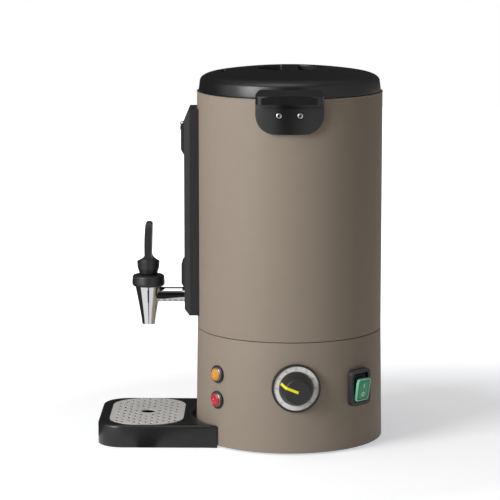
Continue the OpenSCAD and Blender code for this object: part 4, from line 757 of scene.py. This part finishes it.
tray_mesh = bmesh.new()
edge_r = 3.6
side = [(1.2, 0.0), (0.35, 0.35), (0.0, 1.2), (0.0, tray_h - edge_r)]
side += [(edge_r * (1 - math.cos(a)), tray_h - edge_r * (1 - math.sin(a)))
         for a in (math.radians(18 * k) for k in range(1, 6))]
outer = []
tip_round = 7.0
drops = [tip_round - math.sqrt(tip_round ** 2 - max(0, tip_round - min((p - tip).length for tip in tips)) ** 2)
         for p in plan]
for d, z in side:
    moved = [p.lerp(q, w) for p, q, w in zip(plan, inward(plan, d), softness)]
    lowered = [drop if z > 10 else 0 for drop in drops]
    outer.append([tray_mesh.verts.new((p.x, p.y, z - drop)) for p, drop in zip(moved, lowered)])
for low, high in zip(outer, outer[1:]):
    bridge(tray_mesh, low, high)
tray_mesh.faces.new(list(reversed(outer[0])))
lip = seat_loop(1.4)
flat = [Vector(v.co[:2]) for v in outer[-1]] + lip
edges = [(i, (i + 1) % len(plan)) for i in range(len(plan))]
edges += [(len(plan) + i, len(plan) + (i + 1) % len(lip)) for i in range(len(lip))]
made_points, _, made_faces, sources, _, _ = delaunay_2d_cdt(flat, edges, [], 1, 1e-6)
tops = []
for point, source in zip(made_points, sources):
    tops.append(outer[-1][source[0]] if source and source[0] < len(plan)
                else tray_mesh.verts.new((point.x, point.y, tray_h)))
lip_verts = [None] * len(lip)
for vert, source in zip(tops, sources):
    if source and source[0] >= len(plan):
        lip_verts[source[0] - len(plan)] = vert
for face in made_faces:
    middle = sum((made_points[i] for i in face), Vector((0, 0))) / len(face)
    if not inside(middle, lip):
        tray_mesh.faces.new([tops[i] for i in face])
# The grid's seat and the well under it get the second finish: painted shade, darker than the tray's black
last = lip_verts
for grow, z, index in ((0.9, tray_h - 0.15, 0), (0.8, tray_h - 0.5, 0), (0.8, tray_h - 0.9, 1),
                       (-5.0, tray_h - 0.9, 1),
                       (-5.2, tray_h - 2, 1), (-6.2, 5.5, 1), (-8.5, 3.2, 1)):
    ring = [tray_mesh.verts.new((p.x, p.y, z)) for p in seat_loop(grow)]
    bridge(tray_mesh, last, ring, index)
    last = ring
tray_mesh.faces.new(last).material_index = 1
bmesh.ops.recalc_face_normals(tray_mesh, faces=tray_mesh.faces)
tray_black = finish("tray_black", (0.014, 0.014, 0.015), 0.32, grain=(1300, 0.03), mottle=(60, 0.06), uneven=0.06)
tray_body = dress(new_piece("tray_moulding", tray_mesh), tray_black, "tray", ["drip_tray"])
# A darker black for the seat and well: painted shade under the grid
tray_body.data.materials.append(finish("well_painted_shade", (0.004, 0.004, 0.0045), 0.7))
grid_steel = finish("grid_steel", (0.90, 0.90, 0.90), 0.45, grain=(500, 0.02), metal=0.3, uneven=0.08)
dress_node("drip_grid", grid_steel, 0.25)

# --- Under the base and inside it ---

rubber = finish("foot_rubber", (0.018, 0.018, 0.018), 0.75, grain=(600, 0.05))
dress_node("foot_ring", rubber)
for part in ("base_plate", "base_screws", "tie_rods", "heater_clamp", "heater_nut", "thermostat_shaft",
             "thermostat_screws"):
    dress_node(part, zinc)
aluminium = finish("cast_aluminium", (0.55, 0.56, 0.57), 0.45, grain=(300, 0.06), metal=1.0, uneven=0.1)
dress_node("heater_plate", aluminium)
sheath = finish("element_sheath", (0.16, 0.15, 0.14), 0.5, grain=(300, 0.04), metal=0.8, uneven=0.1)
dress_node("heating_element", sheath)
copper = finish("dull_copper", (0.50, 0.22, 0.12), 0.4, grain=(400, 0.02), metal=1.0, uneven=0.1)
dress_node("thermostat_bulb", copper)
brass = finish("turned_brass", (0.60, 0.45, 0.17), 0.32, grain=(400, 0.02), metal=1.0, uneven=0.08)
dress_node("earth_stud", brass)
for part in ("thermostat_body", "overheat_cutout", "cord_gland"):
    dress_node(part, dark_moulding)
button_red = finish("button_red", (0.45, 0.02, 0.015), 0.35)
dress_node("reset_button", button_red)
ceramic = finish("glazed_ceramic", (0.72, 0.70, 0.62), 0.22, grain=(200, 0.02), mottle=(50, 0.04))
dress_node("terminal_block", ceramic)
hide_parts("inner_tank")
